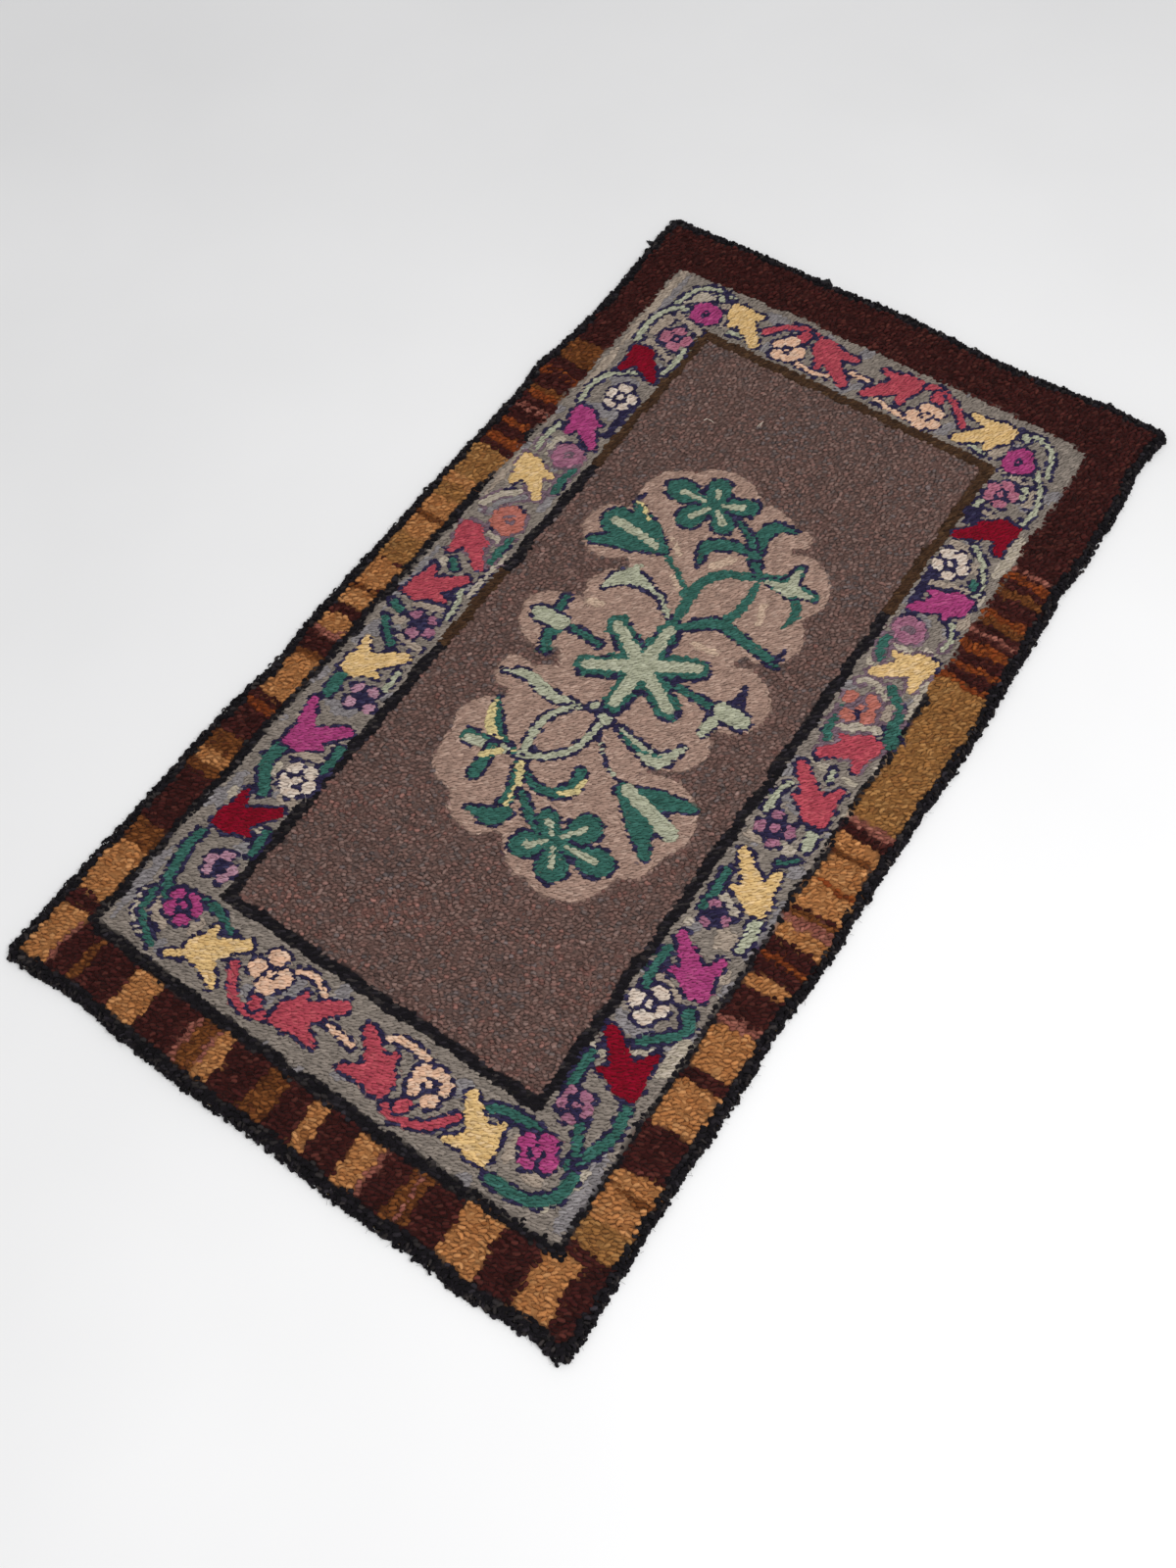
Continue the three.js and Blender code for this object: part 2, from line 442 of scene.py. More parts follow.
# What shakes the lines, breaks off the black one and roughens the patches, and the drifts and
# levels over which the ground turns bluish and the field reddish or greyer.
GROUND_SHAKE = [Drift(1.3, 26, 21), Drift(0.7, 8, 22)]
BLACK_DRIFT = Drift(1, 40, 23)
PATCH_DRIFT = Drift(0.05, 6, 25)
SLATE, SLATE_LEVEL = [Drift(1, 24, 24)], 1.15
RUSSET, RUSSET_LEVEL = [Drift(1, 4, 26), Drift(0.6, 40, 27)], 1.85
RUSSET_SLOPE = 450.0  # mm towards the near end that raise its drift by 1
STONE, STONE_LEVEL = [Drift(1, 4, 28), Drift(0.6, 50, 29)], 1.5

# Ovals in other wools on the border's ground.
Patch = namedtuple("Patch", "wool x y width length")
PATCHES = [
    Patch("oatmeal", -278, 470, 12, 160),
    Patch("bone", -253, 215, 17, 34),
    Patch("slate", -268, 480, 9, 120),
    Patch("slate", -135, 528, 42, 18),
    Patch("oatmeal", -276, 345, 12, 84),
    Patch("slate", -237, 341, 36, 26),
    Patch("slate", -230, 292, 30, 24),
    Patch("slate", -212, 138, 12, 34),
    Patch("oatmeal", -280, 150, 8, 80),
    Patch("slate", -267, 90, 17, 13),
    Patch("bone", -261, 7, 14, 13),
    Patch("slate", -279, -30, 9, 120),
    Patch("oatmeal", -257, -84, 17, 15),
    Patch("slate", -272, -110, 20, 30),
    Patch("slate", -240, -211, 42, 17),
    Patch("oatmeal", -267, -237, 13, 22),
    Patch("oatmeal", -213, -248, 26, 12),
    Patch("bone", -249, -308, 10, 22),
    Patch("slate", -274, -350, 14, 54),
    Patch("bone", -269, -352, 10, 17),
    Patch("oatmeal", -211, -330, 30, 14),
    Patch("bone", -214, -368, 20, 12),
    Patch("slate", -279, -480, 13, 90),
    Patch("oatmeal", -199, -488, 12, 22),
    Patch("slate", -76, -484, 17, 32),
    Patch("slate", -108, -512, 24, 16),
    Patch("bone", 270, 355, 15, 72),
    Patch("oatmeal", 218, 338, 32, 16),
    Patch("oatmeal", 244, 321, 24, 15),
    Patch("bone", 270, 285, 8, 26),
    Patch("oatmeal", 268, 250, 14, 26),
    Patch("slate", 202, 250, 12, 26),
    Patch("slate", 222, 229, 40, 14),
    Patch("bone", 231, 185, 26, 10),
    Patch("bone", 257, 196, 17, 9),
    Patch("bone", 276, 146, 15, 72),
    Patch("bone", 208, 155, 10, 17),
    Patch("bone", 281, -20, 10, 170),
    Patch("slate", 203, -7, 9, 32),
    Patch("bone", 229, 12, 32, 8),
    Patch("bone", 262, 11, 21, 8),
    Patch("bone", 249, -90, 20, 15),
    Patch("oatmeal", 214, -96, 26, 12),
    Patch("slate", 231, -47, 19, 10),
    Patch("slate", 269, -107, 17, 19),
    Patch("slate", 277, -180, 10, 80),
    Patch("oatmeal", 249, -208, 23, 25),
    Patch("bone", 208, -211, 11, 10),
    Patch("oatmeal", 269, -242, 11, 21),
    Patch("slate", 224, -330, 47, 24),
    Patch("bone", 272, -334, 17, 54),
    Patch("bone", 211, -368, 26, 11),
    Patch("slate", 270, -490, 17, 90),
    Patch("bone", 264, -478, 9, 30),
    Patch("bone", 250, -514, 9, 22),
    Patch("oatmeal", 195, -492, 13, 34),
    Patch("oatmeal", 226, -503, 24, 14),
]


# ---- The drawing: border ------------------------------------------------------------------------

# Widths in mm of the row of outline hooked round the motifs.
ROW = 3.9
INNER_ROW = 3.8
STRIP_ROW = 2.6
LEAF_ROW = 3.6
CUP_ROW = 2.6
ROUND_ROW = 3.8
STRIP_WOOLS = ("oatmeal", "bone", "slate")

# The middle of each long side is outlined in a softer wool.
SOFT_SIDES, SOFT_MIDDLE, SOFT_REACH = 195, 122, 98
SOFT_DRIFT, SOFT_LEVEL = Drift(1, 16, 51), -0.9

# One row for a tulip: middle of its bulb, and bearing and length of its three petals.
Tulip = namedtuple("Tulip", "wool x y bearing_a length_a bearing_b length_b bearing_c length_c")
TULIPS = [
    Tulip("crimson", -246, 388, -108, 36, -38, 48, -10, 24),
    Tulip("magenta", -250, 268, -97, 32, -43, 52, 0, 26),
    Tulip("yellow", -262, 172, -95, 34, -43, 54, 0, 37),
    Tulip("coral", -262, 55, -97, 36, -41, 56, -8, 32),
    Tulip("coral", -262, -38, 99, 38, 45, 56, 0, 35),
    Tulip("yellow", -258, -155, 111, 38, 41, 58, -5, 30),
    Tulip("magenta", -250, -262, 114, 53, 40, 55, 0, 30),
    Tulip("crimson", -250, -378, 103, 38, 41, 55, -7, 33),
    Tulip("crimson", 247, 385, -73, 38, -143, 55, 188, 30),
    Tulip("magenta", 250, 268, -97, 26, -143, 53, 178, 35),
    Tulip("yellow", 256, 175, -80, 36, -139, 56, 181, 35),
    Tulip("coral", 255, 55, -78, 34, -140, 51, 182, 32),
    Tulip("coral", 252, -38, 75, 39, 136, 62, 172, 32),
    Tulip("yellow", 252, -155, 84, 40, 135, 59, 182, 32),
    Tulip("magenta", 250, -262, 74, 37, 139, 56, 183, 32),
    Tulip("crimson", 248, -380, 76, 41, 141, 59, 187, 32),
    Tulip("yellow", -178, 512, -97, 26, -41, 58, 22, 32),
    Tulip("coral", -60, 518, -81, 35, -41, 64, 5, 46),
    Tulip("coral", 52, 520, -82, 35, -134, 58, 170, 38),
    Tulip("yellow", 180, 512, -100, 33, -141, 58, 167, 43),
    Tulip("yellow", -178, -505, 94, 30, 40, 52, -33, 43),
    Tulip("coral", -60, -508, 90, 30, 44, 59, -16, 43),
    Tulip("coral", 50, -508, 90, 30, 138, 54, 198, 43),
    Tulip("yellow", 168, -505, 74, 30, 136, 53, 204, 36),
]
TULIP_BULB = 33.0
# How much each petal's line stops short of its tip, and the petal's widths from foot to tip.
TULIP_PETALS = [(4, (26, 16, 8)), (5, (28, 18, 12)), (3, (26, 12, 6))]
TULIP_HEEL = 14.0  # the bulb is drawn out a little behind its long petal
HEEL_WIDTHS = (24, 12)

# A rosette is a ring of short blobs in navy, sometimes with one more in the middle. Wide blobs
# run together into a lobed disc with a ring of navy inside. Columns: radius of the ring, number
# and width of the blobs, width of the middle one, and bearing of the first.
Rosette = namedtuple("Rosette", "wool x y ring blobs blob middle turn")
ROSETTES = [
    Rosette("magenta", -216, 490, 12, 7, 14, 5, 10),
    Rosette("magenta", 217, 484, 12, 7, 14, 5, 40),
    Rosette("peach", -100, 492, 14, 5, 15, 6, 20),
    Rosette("peach", 94, 488, 15, 5, 15, 8, 50),
    Rosette("pink", -224, 435, 14, 4, 15, 7, 15),
    Rosette("pink", 221, 431, 14, 5, 12, 8, 80),
    Rosette("cream", -230, 318, 14, 5, 12, 9, 30),
    Rosette("cream", 220, 313, 15, 5, 13, 8, 60),
    Rosette("mauve", -231, 210, 12, 7, 14, 4, 0),
    Rosette("mauve", 223, 210, 12, 7, 14, 4, 20),
    Rosette("salmon", -234, 95, 14, 6, 16, 6, 50),
    Rosette("salmon", 227, 96, 16, 4, 15, 8, 60),
    Rosette("mauve", -231, -78, 14, 4, 11, 0, 70),
    Rosette("mauve", 226, -77, 15, 4, 11, 10, 20),
    Rosette("blush", -226, -187, 14, 4, 12, 0, 60),
    Rosette("mauve", 226, -192, 12, 3, 9, 0, 10),
    Rosette("cream", -220, -304, 15, 5, 13, 10, 70),
    Rosette("cream", 223, -305, 15, 4, 14, 9, 5),
    Rosette("blush", -222, -425, 13, 5, 10, 0, 20),
    Rosette("mauve", 220, -425, 13, 5, 10, 8, 70),
    Rosette("magenta", -225, -479, 14, 5, 12, 9, 80),
    Rosette("magenta", 216, -481, 13, 4, 15, 9, 70),
    Rosette("peach", -103, -484, 15, 4, 16, 8, 100),
    Rosette("peach", 94, -486, 15, 5, 14, 9, 80),
]

BLOB_HALF = 2.0  # half the length of a blob's middle line

# Vines, leaves and stems of the border, and strips of ground hooked between them: widths run
# from the first point to the last.
Vine = namedtuple("Vine", "wool points widths")
VINES = [
    Vine("bone", ((-250, 496), (-238, 510), (-220, 517)), (12, 18, 12)),
    Vine("oatmeal", ((-202, 514), (-188, 486)), (11,)),
    Vine("oatmeal", ((-254, 432), (-251, 456)), (16, 18)),
    Vine("oatmeal", ((-243, 470), (-206, 459)), (10,)),
    Vine("oatmeal", ((-252, 414), (-214, 400)), (10,)),
    Vine("bone", ((-246, 134), (-264, 120), (-275, 98)), (10, 9)),
    Vine("bone", ((-247, 72), (-223, 61)), (8,)),
    Vine("bone", ((-209, 48), (-209, -18)), (6,)),
    Vine("oatmeal", ((-252, -59), (-222, -48)), (8,)),
    Vine("oatmeal", ((-242, -103), (-212, -105)), (8,)),
    Vine("oatmeal", ((-257, -282), (-214, -272)), (10,)),
    Vine("oatmeal", ((-250, -486), (-246, -498), (-228, -506)), (8, 11, 9)),
    Vine("oatmeal", ((190, 506), (188, 480)), (15,)),
    Vine("oatmeal", ((207, 464), (238, 458)), (8,)),
    Vine("oatmeal", ((252, 434), (250, 454)), (13,)),
    Vine("oatmeal", ((210, 399), (232, 396)), (8,)),
    Vine("oatmeal", ((214, 280), (256, 290)), (9,)),
    Vine("bone", ((209, 124), (224, 132), (244, 118)), (9,)),
    Vine("bone", ((219, 66), (256, 80)), (12,)),
    Vine("bone", ((220, -168), (244, -180)), (8,)),
    Vine("oatmeal", ((212, -274), (242, -285)), (9,)),
    Vine("bone", ((238, -352), (257, -340)), (6,)),
    Vine("coral", ((-138, 502), (-118, 524), (-95, 533), (-70, 528)), (9, 7, 8)),
    Vine("coral", ((138, 497), (112, 524), (88, 534), (62, 526)), (9, 7, 8)),
    Vine("coral", ((-140, -497), (-125, -519), (-100, -528), (-75, -520)), (9, 8, 9)),
    Vine("coral", ((135, -497), (115, -519), (85, -530), (62, -520)), (9, 8, 9)),
    Vine("coral", ((-93, 518), (-91, 523)), (15,)),
    Vine("coral", ((93, 518), (91, 523)), (15,)),
    Vine("coral", ((-97, -514), (-96, -518)), (13,)),
    Vine("coral", ((86, -514), (84, -518)), (13,)),
    Vine("yellow", ((-188, -516), (-209, -527)), (12, 4)),
    Vine("peach", ((-15, 500), (10, 500)), (6,)),
    Vine("peach", ((-80, 478), (-55, 476), (-38, 480)), (6,)),
    Vine("peach", ((30, 480), (55, 474), (88, 474)), (6,)),
    Vine("peach", ((-22, -494), (8, -498)), (6,)),
    Vine("peach", ((-82, -468), (-62, -463), (-42, -475)), (6,)),
    Vine("peach", ((28, -477), (45, -467), (78, -467)), (7,)),
    Vine("sage", ((-198, 530), (-225, 532), (-247, 520), (-257, 484)), (6,)),
    Vine("sage", ((-214, 526), (-211, 520)), (9,)),
    Vine("sage", ((-176, 478), (-158, 482)), (6,)),
    Vine("sage", ((-236, 486), (-258, 474), (-269, 440), (-266, 408)), (7,)),
    Vine("slate", ((-218, 386), (-218, 382)), (7,)),
    Vine("sage", ((-206, 425), (-204, 403), (-206, 378)), (6,)),
    Vine("sage", ((-234, 362), (-260, 344), (-271, 318), (-268, 288)), (6,)),
    Vine("navy", ((-211, 326), (-210, 290), (-211, 260)), (6,)),
    Vine("sage", ((-268, 245), (-272, 222), (-269, 200)), (6,)),
    Vine("teal", ((-214, 196), (-216, 176), (-214, 156)), (9,)),
    Vine("slate", ((-238, 130), (-256, 112), (-262, 92)), (8,)),
    Vine("teal", ((-216, 72), (-217, 55), (-216, 34)), (9,)),
    Vine("teal", ((-254, 12), (-246, 4)), (9,)),
    Vine("navy", ((-234, -20), (-224, -26)), (14, 10)),
    Vine("sage", ((-222, -15), (-214, -35), (-212, -55)), (6,)),
    Vine("teal", ((-275, -70), (-262, -74)), (9,)),
    Vine("teal", ((-270, -90), (-258, -104), (-243, -116)), (8,)),
    Vine("sage", ((-214, -140), (-212, -155), (-214, -172)), (6,)),
    Vine("teal", ((-265, -178), (-262, -200)), (13, 15)),
    Vine("teal", ((-206, -250), (-204, -270), (-206, -292)), (9,)),
    Vine("teal", ((-262, -286), (-262, -306), (-242, -335)), (16, 12)),
    Vine("teal", ((-207, -370), (-205, -396)), (9,)),
    Vine("teal", ((-266, -405), (-267, -430), (-258, -464), (-246, -479)), (10, 11, 10)),
    Vine("teal", ((-262, -482), (-255, -508), (-226, -528)), (8, 9, 7)),
    Vine("bone", ((-272, -488), (-264, -512), (-243, -526)), (4,)),
    Vine("teal", ((-210, -463), (-188, -464), (-160, -476)), (8, 9, 5)),
    Vine("sage", ((196, 526), (225, 527), (244, 514), (254, 481)), (6,)),
    Vine("sage", ((206, 523), (210, 518)), (10,)),
    Vine("sage", ((158, 478), (176, 474)), (6,)),
    Vine("sage", ((240, 482), (255, 460), (264, 436), (262, 405)), (6,)),
    Vine("sage", ((242, 438), (241, 452)), (8,)),
    Vine("sage", ((206, 414), (205, 396)), (7,)),
    Vine("navy", ((204, 390), (208, 382)), (12,)),
    Vine("sage", ((230, 349), (250, 331), (263, 300), (262, 284)), (6,)),
    Vine("navy", ((206, 304), (208, 280), (209, 250)), (6,)),
    Vine("teal", ((254, 304), (256, 297)), (9,)),
    Vine("sage", ((258, 240), (268, 225), (265, 206)), (6,)),
    Vine("teal", ((208, 188), (209, 172), (214, 162)), (9,)),
    Vine("teal", ((243, 135), (262, 112), (275, 74)), (7, 15, 16)),
    Vine("oatmeal", ((254, 112), (255, 98)), (9,)),
    Vine("teal", ((212, 84), (211, 60), (216, 44)), (9,)),
    Vine("sage", ((242, 12), (244, 3)), (7,)),
    Vine("sage", ((212, -24), (207, -38), (208, -62)), (5, 6, 10)),
    Vine("sage", ((262, -62), (264, -78)), (14, 12)),
    Vine("teal", ((264, -95), (248, -110)), (5,)),
    Vine("teal", ((211, -143), (212, -165), (211, -190)), (9,)),
    Vine("sage", ((264, -178), (267, -192), (266, -209)), (14, 9)),
    Vine("teal", ((207, -247), (206, -270), (209, -290)), (9,)),
    Vine("teal", ((260, -292), (266, -312), (234, -342)), (14, 8, 8)),
    Vine("teal", ((204, -375), (205, -412)), (9,)),
    Vine("teal", ((262, -400), (266, -430), (256, -458), (245, -475)), (10, 11, 10)),
    Vine("teal", ((235, -440), (246, -462)), (9,)),
    Vine("teal", ((256, -480), (254, -504), (232, -522), (192, -525)), (11, 11, 10)),
    Vine("teal", ((152, -477), (168, -466), (206, -463)), (9,)),
]


# ---- The drawing: medallion ---------------------------------------------------------------------

# The tan ground is a cloud of round lobes.
Lobe = namedtuple("Lobe", "x y reach")
LOBES = [
    Lobe(-45, 238, 54),
    Lobe(20, 230, 43),
    Lobe(62, 250, 14),
    Lobe(82, 188, 47),
    Lobe(98, 120, 39),
    Lobe(108, 28, 42),
    Lobe(84, -48, 38),
    Lobe(112, -136, 48),
    Lobe(105, -172, 44),
    Lobe(68, -215, 53),
    Lobe(38, -222, 42),
    Lobe(-40, -214, 38),
    Lobe(-75, -180, 47),
    Lobe(-85, -142, 43),
    Lobe(-60, -80, 42),
    Lobe(-106, -70, 21),
    Lobe(-112, 10, 38),
    Lobe(-75, 75, 32),
    Lobe(-122, 148, 38),
    Lobe(-85, 222, 46),
    Lobe(0, 20, 90),
    Lobe(10, 110, 88),
    Lobe(0, -80, 78),
    Lobe(10, -160, 78),
    Lobe(-15, 180, 92),
]

CLOUD_SHAKE = Drift(1.2, 14, 31)

# Stems, leaves and flower parts in the order in which they are hooked.
Leaf = namedtuple("Leaf", "wool outline points widths")
LEAVES = [
    Leaf("sand", None, ((-2, 166), (12, 184)), (10, 12)),
    Leaf("sand", None, ((-60, 172), (-44, 160)), (6, 7)),
    Leaf("sand", None, ((74, 150), (82, 128)), (7, 8)),
    Leaf("sand", None, ((-92, 52), (-78, 54)), (9, 9)),
    Leaf("sand", None, ((36, 66), (62, 68)), (7, 8)),
    Leaf("sand", None, ((-32, 130), (-18, 118)), (6, 6)),
    Leaf("teal", None, ((3, 76), (0, 110), (-1, 138), (14, 162), (38, 174), (78, 196)), (14, 12, 10)),
    Leaf("teal", None, ((-2, 106), (-20, 130), (-62, 154)), (7, 7, 6)),
    Leaf("teal", "navy", ((16, 80), (44, 102), (86, 98), (124, 92)), (11, 14, 9)),
    Leaf("teal", None, ((50, 106), (56, 140), (53, 172)), (12, 10, 8)),
    Leaf("navy", None, ((122, 92), (124, 112)), (6, 4)),
    Leaf("teal", "navy", ((46, 186), (28, 208), (27, 246), (54, 258)), (8, 18, 16, 3)),
    Leaf("teal", "navy", ((34, 204), (6, 203), (-22, 186), (-17, 160)), (8, 13, 16, 5)),
    Leaf("teal", "navy", ((-18, 236), (4, 228), (22, 214)), (8, 7, 8)),
    Leaf("teal", None, ((80, 180), (98, 176), (110, 158), (106, 136)), (6, 9, 11, 3)),
    Leaf("sage", "navy", ((-6, 80), (-26, 97), (-50, 104)), (4, 6, 9)),
    Leaf("sage", "navy", ((-46, 104), (-66, 104), (-82, 96), (-90, 76)), (8, 20, 18, 3)),
    Leaf("sage", None, ((-76, 104), (-72, 122)), (14, 7)),
    Leaf("teal", "navy", ((52, 10), (78, 9), (100, 10)), (8, 8, 10)),
    Leaf("teal", "navy", ((-50, 10), (-78, 12), (-100, 9)), (8, 8, 10)),
    Leaf("teal", "navy", ((-103, 4), (-104, -12), (-97, -27)), (16, 11, 12)),
    Leaf("teal", "navy", ((-115, 24), (-116, 44)), (8, 7)),
    Leaf("sage", "navy", ((-128, 9), (-102, 11)), (20, 19)),
    Leaf("sage", "navy", ((106, 6), (104, -24)), (18, 9)),
    Leaf("navy", None, ((118, 24), (113, 50)), (18, 5)),
    Leaf("sage", "navy", ((108, 11), (132, 11)), (22, 19)),
    Leaf("sage", "navy", ((-22, -68), (-60, -72), (-92, -65), (-118, -74)), (6, 13, 12, 3)),
    Leaf("sage", "navy", ((26, -66), (56, -74), (84, -78), (98, -50)), (5, 12, 17, 6)),
    Leaf("teal", None, ((30, -70), (56, -78), (82, -72)), (4, 5, 3)),
    Leaf("sage", "navy", ((8, -68), (4, -108), (-14, -134), (-46, -152)), (8, 7, 8)),
    Leaf("sage", "navy", ((-30, -72), (-44, -94), (-47, -118), (-42, -142)), (6, 8, 9)),
    Leaf("sage", "navy", ((5, -64), (12, -66)), (12, 12)),
    Leaf("sage", "navy", ((-10, -58), (-9, -57)), (9, 9)),
    Leaf("navy", None, ((14, -84), (30, -101), (50, -116), (68, -122)), (6, 5, 5)),
    Leaf("sage", None, ((22, -92), (36, -107), (54, -117)), (2, 2, 2)),
    Leaf("teal", "navy", ((-50, -152), (-80, -140), (-96, -120), (-102, -106)), (5, 14, 12, 3)),
    Leaf("primrose", None, ((-52, -152), (-84, -144), (-98, -126), (-103, -110)), (5, 11, 10, 3)),
    Leaf("teal", "navy", ((-62, -154), (-100, -162)), (10, 18)),
    Leaf("sage", None, ((-60, -154), (-100, -164)), (11, 12)),
    Leaf("teal", "navy", ((-72, -160), (-70, -196)), (12, 13)),
    Leaf("primrose", None, ((-62, -158), (-77, -172)), (8, 8)),
    Leaf("teal", "navy", ((-34, -162), (0, -173), (26, -158), (24, -132)), (8, 8, 14, 11)),
    Leaf("primrose", None, ((18, -166), (31, -156), (33, -140)), (6, 8, 5)),
    Leaf("teal", "navy", ((-36, -162), (-24, -186), (-21, -214)), (10, 14, 12)),
    Leaf("teal", "navy", ((-16, -216), (-26, -226), (-52, -231)), (17, 21, 4)),
    Leaf("primrose", None, ((-36, -160), (-24, -178), (-20, -206)), (8, 8, 4)),
    Leaf("teal", "navy", ((-14, -186), (4, -200), (24, -212)), (8, 9, 9)),
]

# A cup-shaped flower: middle lines of its parts from the foot to each of three tips.
CUPS = [
    Leaf("teal", "navy", ((-60, 154), (-92, 172), (-122, 194)), (10, 26, 8)),
    Leaf("teal", "navy", ((-60, 154), (-98, 146), (-140, 124)), (10, 26, 9)),
    Leaf("teal", "navy", ((-60, 154), (-98, 158), (-126, 161)), (10, 34, 40)),
    Leaf("sage", None, ((-70, 155), (-98, 159), (-129, 161)), (8, 11, 13)),
    Leaf("primrose", None, ((-98, 182), (-123, 200)), (4, 5)),
    Leaf("navy", None, ((-123, 203), (-123, 209)), (7, 6)),
    Leaf("teal", "navy", ((72, -126), (108, -117), (144, -105)), (12, 24, 10)),
    Leaf("teal", "navy", ((72, -126), (108, -150), (134, -178)), (12, 26, 9)),
    Leaf("teal", "navy", ((72, -126), (104, -132), (138, -143)), (16, 30, 14)),
    Leaf("sage", None, ((76, -124), (104, -131), (140, -142)), (14, 16, 18)),
    Leaf("teal", "navy", ((84, 188), (84, 216)), (18, 10)),
    Leaf("teal", "navy", ((84, 188), (114, 190)), (20, 12)),
    Leaf("teal", "navy", ((88, 186), (60, 181)), (24, 8)),
    Leaf("sage", None, ((85, 186), (84, 210)), (14, 8)),
    Leaf("sage", None, ((85, 186), (112, 188)), (18, 7)),
    Leaf("sage", None, ((88, 185), (60, 180)), (20, 5)),
]

# A flower of round petals with a pale streak in each: which flower, the petal's middle, the
# bearing of its length, and its size.
FLOWERS = [Lobe(-45, 240, 14), Lobe(45, -212, 14)]
Petal = namedtuple("Petal", "flower x y bearing width length")
ROUND_PETALS = [
    Petal(0, -52, 260, 100, 28, 36),
    Petal(0, -17, 254, 25, 22, 38),
    Petal(0, -24, 222, -45, 27, 28),
    Petal(0, -60, 212, 250, 28, 36),
    Petal(0, -88, 238, 180, 30, 40),
    Petal(1, 65, -185, 60, 32, 36),
    Petal(1, 94, -210, 20, 30, 40),
    Petal(1, 60, -238, -60, 32, 36),
    Petal(1, 24, -232, 225, 28, 34),
    Petal(1, 28, -198, 135, 22, 27),
]
STREAK = 8.0
NECK = 14.0  # each petal is joined to the flower's middle by a neck this wide

# The middle flower: six pointed sage petals, rimmed in teal and shaded on one side in navy.
STAR = Lobe(5, 12, 55)
STAR_TURN = 30.0
STAR_STRETCH = 6.0
STAR_PETAL = (17, 28, 27, 12)
STAR_RIM = 7.0
STAR_SHADE = 2.5
STAR_SHADE_RIM = 1.0


# How wide the outline's rows are in places, as a share of their width.
ROW_EVENNESS, ROW_SHAKE = 0.85, Drift(0.45, 7, 71)


class Chart:
    """Which wool each spot of the rug is hooked in."""

    def __init__(self, x, y):
        self.x, self.y = x, y
        self.wool = np.full(len(x), WOOL_NUMBER["walnut"])
        self.evenness = np.clip(ROW_EVENNESS + drifts(x, y, ROW_SHAKE), 0, 1.5)

    def hook(self, where, wool):
        """Gives the spots where a test holds to one wool."""
        self.wool[where] = WOOL_NUMBER[wool]

    def motif(self, distance, wool, outline=None, row=LEAF_ROW):
        """Hooks a motif in its wool, with an uneven row of the outline's wool round it."""
        if outline:
            self.hook((distance < row * self.evenness) & (distance >= 0), outline)
        self.hook(distance < 0, wool)


def chart_band(chart):
    """The striped outer band."""
    x, y = chart.x, chart.y
    side = band_side(x, y)
    shake = drifts(x, y, *BAND_SHAKE)
    for name, stripes in STRIPES.items():
        place = side_place(name, x, y) + shake
        for stripe in stripes:
            chart.hook((side == name) & between(place, stripe), stripe.wool)


def past_ground(x, y):
    """How far outside the border's ground each spot lies, negative inside it."""
    bow = GROUND_BOW * (1 - (x / GROUND.width * 2) ** 2)
    return np.maximum(
        np.abs(x - GROUND.x) - GROUND.width / 2,
        np.abs(y - GROUND.y) - GROUND.length / 2 - bow,
    )


def nearest_side(zone, x, y):
    """The side of a rectangle of the drawing that lies nearest to each spot."""
    depth = {
        "far": zone.y + zone.length / 2 - y,
        "near": y - zone.y + zone.length / 2,
        "left": x - zone.x + zone.width / 2,
        "right": zone.x + zone.width / 2 - x,
    }
    return np.array(list(depth))[np.stack(list(depth.values())).argmin(axis=0)]


def in_field(x, y):
    """Whether each spot is inside the line round the field."""
    return past_edge(FIELD_LINE, x, y) < -FIELD_LINE_WIDTH / 2


def chart_grounds(chart):
    """The border's patched ground, the plain field and the lines between the zones."""
    x, y = chart.x, chart.y
    shake = drifts(x, y, *GROUND_SHAKE)
    outside = past_ground(x, y) + shake
    black = np.where(x < GROUND.x, BLACK_LEFT, BLACK_RIGHT)
    black = np.where(y < GROUND.y - GROUND.length / 2, BLACK_NEAR, black)
    black *= np.clip((BLACK_LINE_TOP - y) / BLACK_LINE_FADE + drifts(x, y, BLACK_DRIFT), 0, 1)
    chart.hook(outside < black, "charcoal")
    ground = outside < 0
    chart.hook(ground, "ash")
    chart.hook(ground & (drifts(x, y, *SLATE) > SLATE_LEVEL), "slate")
    rough = drifts(x, y, PATCH_DRIFT)
    for p in PATCHES:
        oval = np.hypot((x - p.x) / p.width, (y - p.y) / p.length)
        chart.hook(ground & (oval + rough < 0.5), p.wool)

    line = past_edge(FIELD_LINE, x, y) + shake
    chart.hook(line < 0, "heather")
    patchy = drifts(x, y, *RUSSET) - y / RUSSET_SLOPE
    chart.hook((line < 0) & (patchy > RUSSET_LEVEL), "russet")
    chart.hook((line < 0) & (drifts(x, y, *STONE) > STONE_LEVEL), "stone")
    side = nearest_side(FIELD_LINE, x, y)
    on_line = np.abs(line) < FIELD_LINE_WIDTH / 2
    for name, stripes in FIELD_LINES.items():
        for stripe in stripes:
            here = on_line & (side == name) & between(side_place(name, x, y), stripe)
            chart.hook(here, stripe.wool)


def past_cloud(x, y):
    """How far outside the medallion's tan cloud each spot lies, negative inside it."""
    cloud = np.full(len(x), FAR_AWAY)
    for lobe in LOBES:
        cloud = np.minimum(cloud, np.hypot(x - lobe.x, y - lobe.y) - lobe.reach)
    return cloud + drifts(x, y, CLOUD_SHAKE)


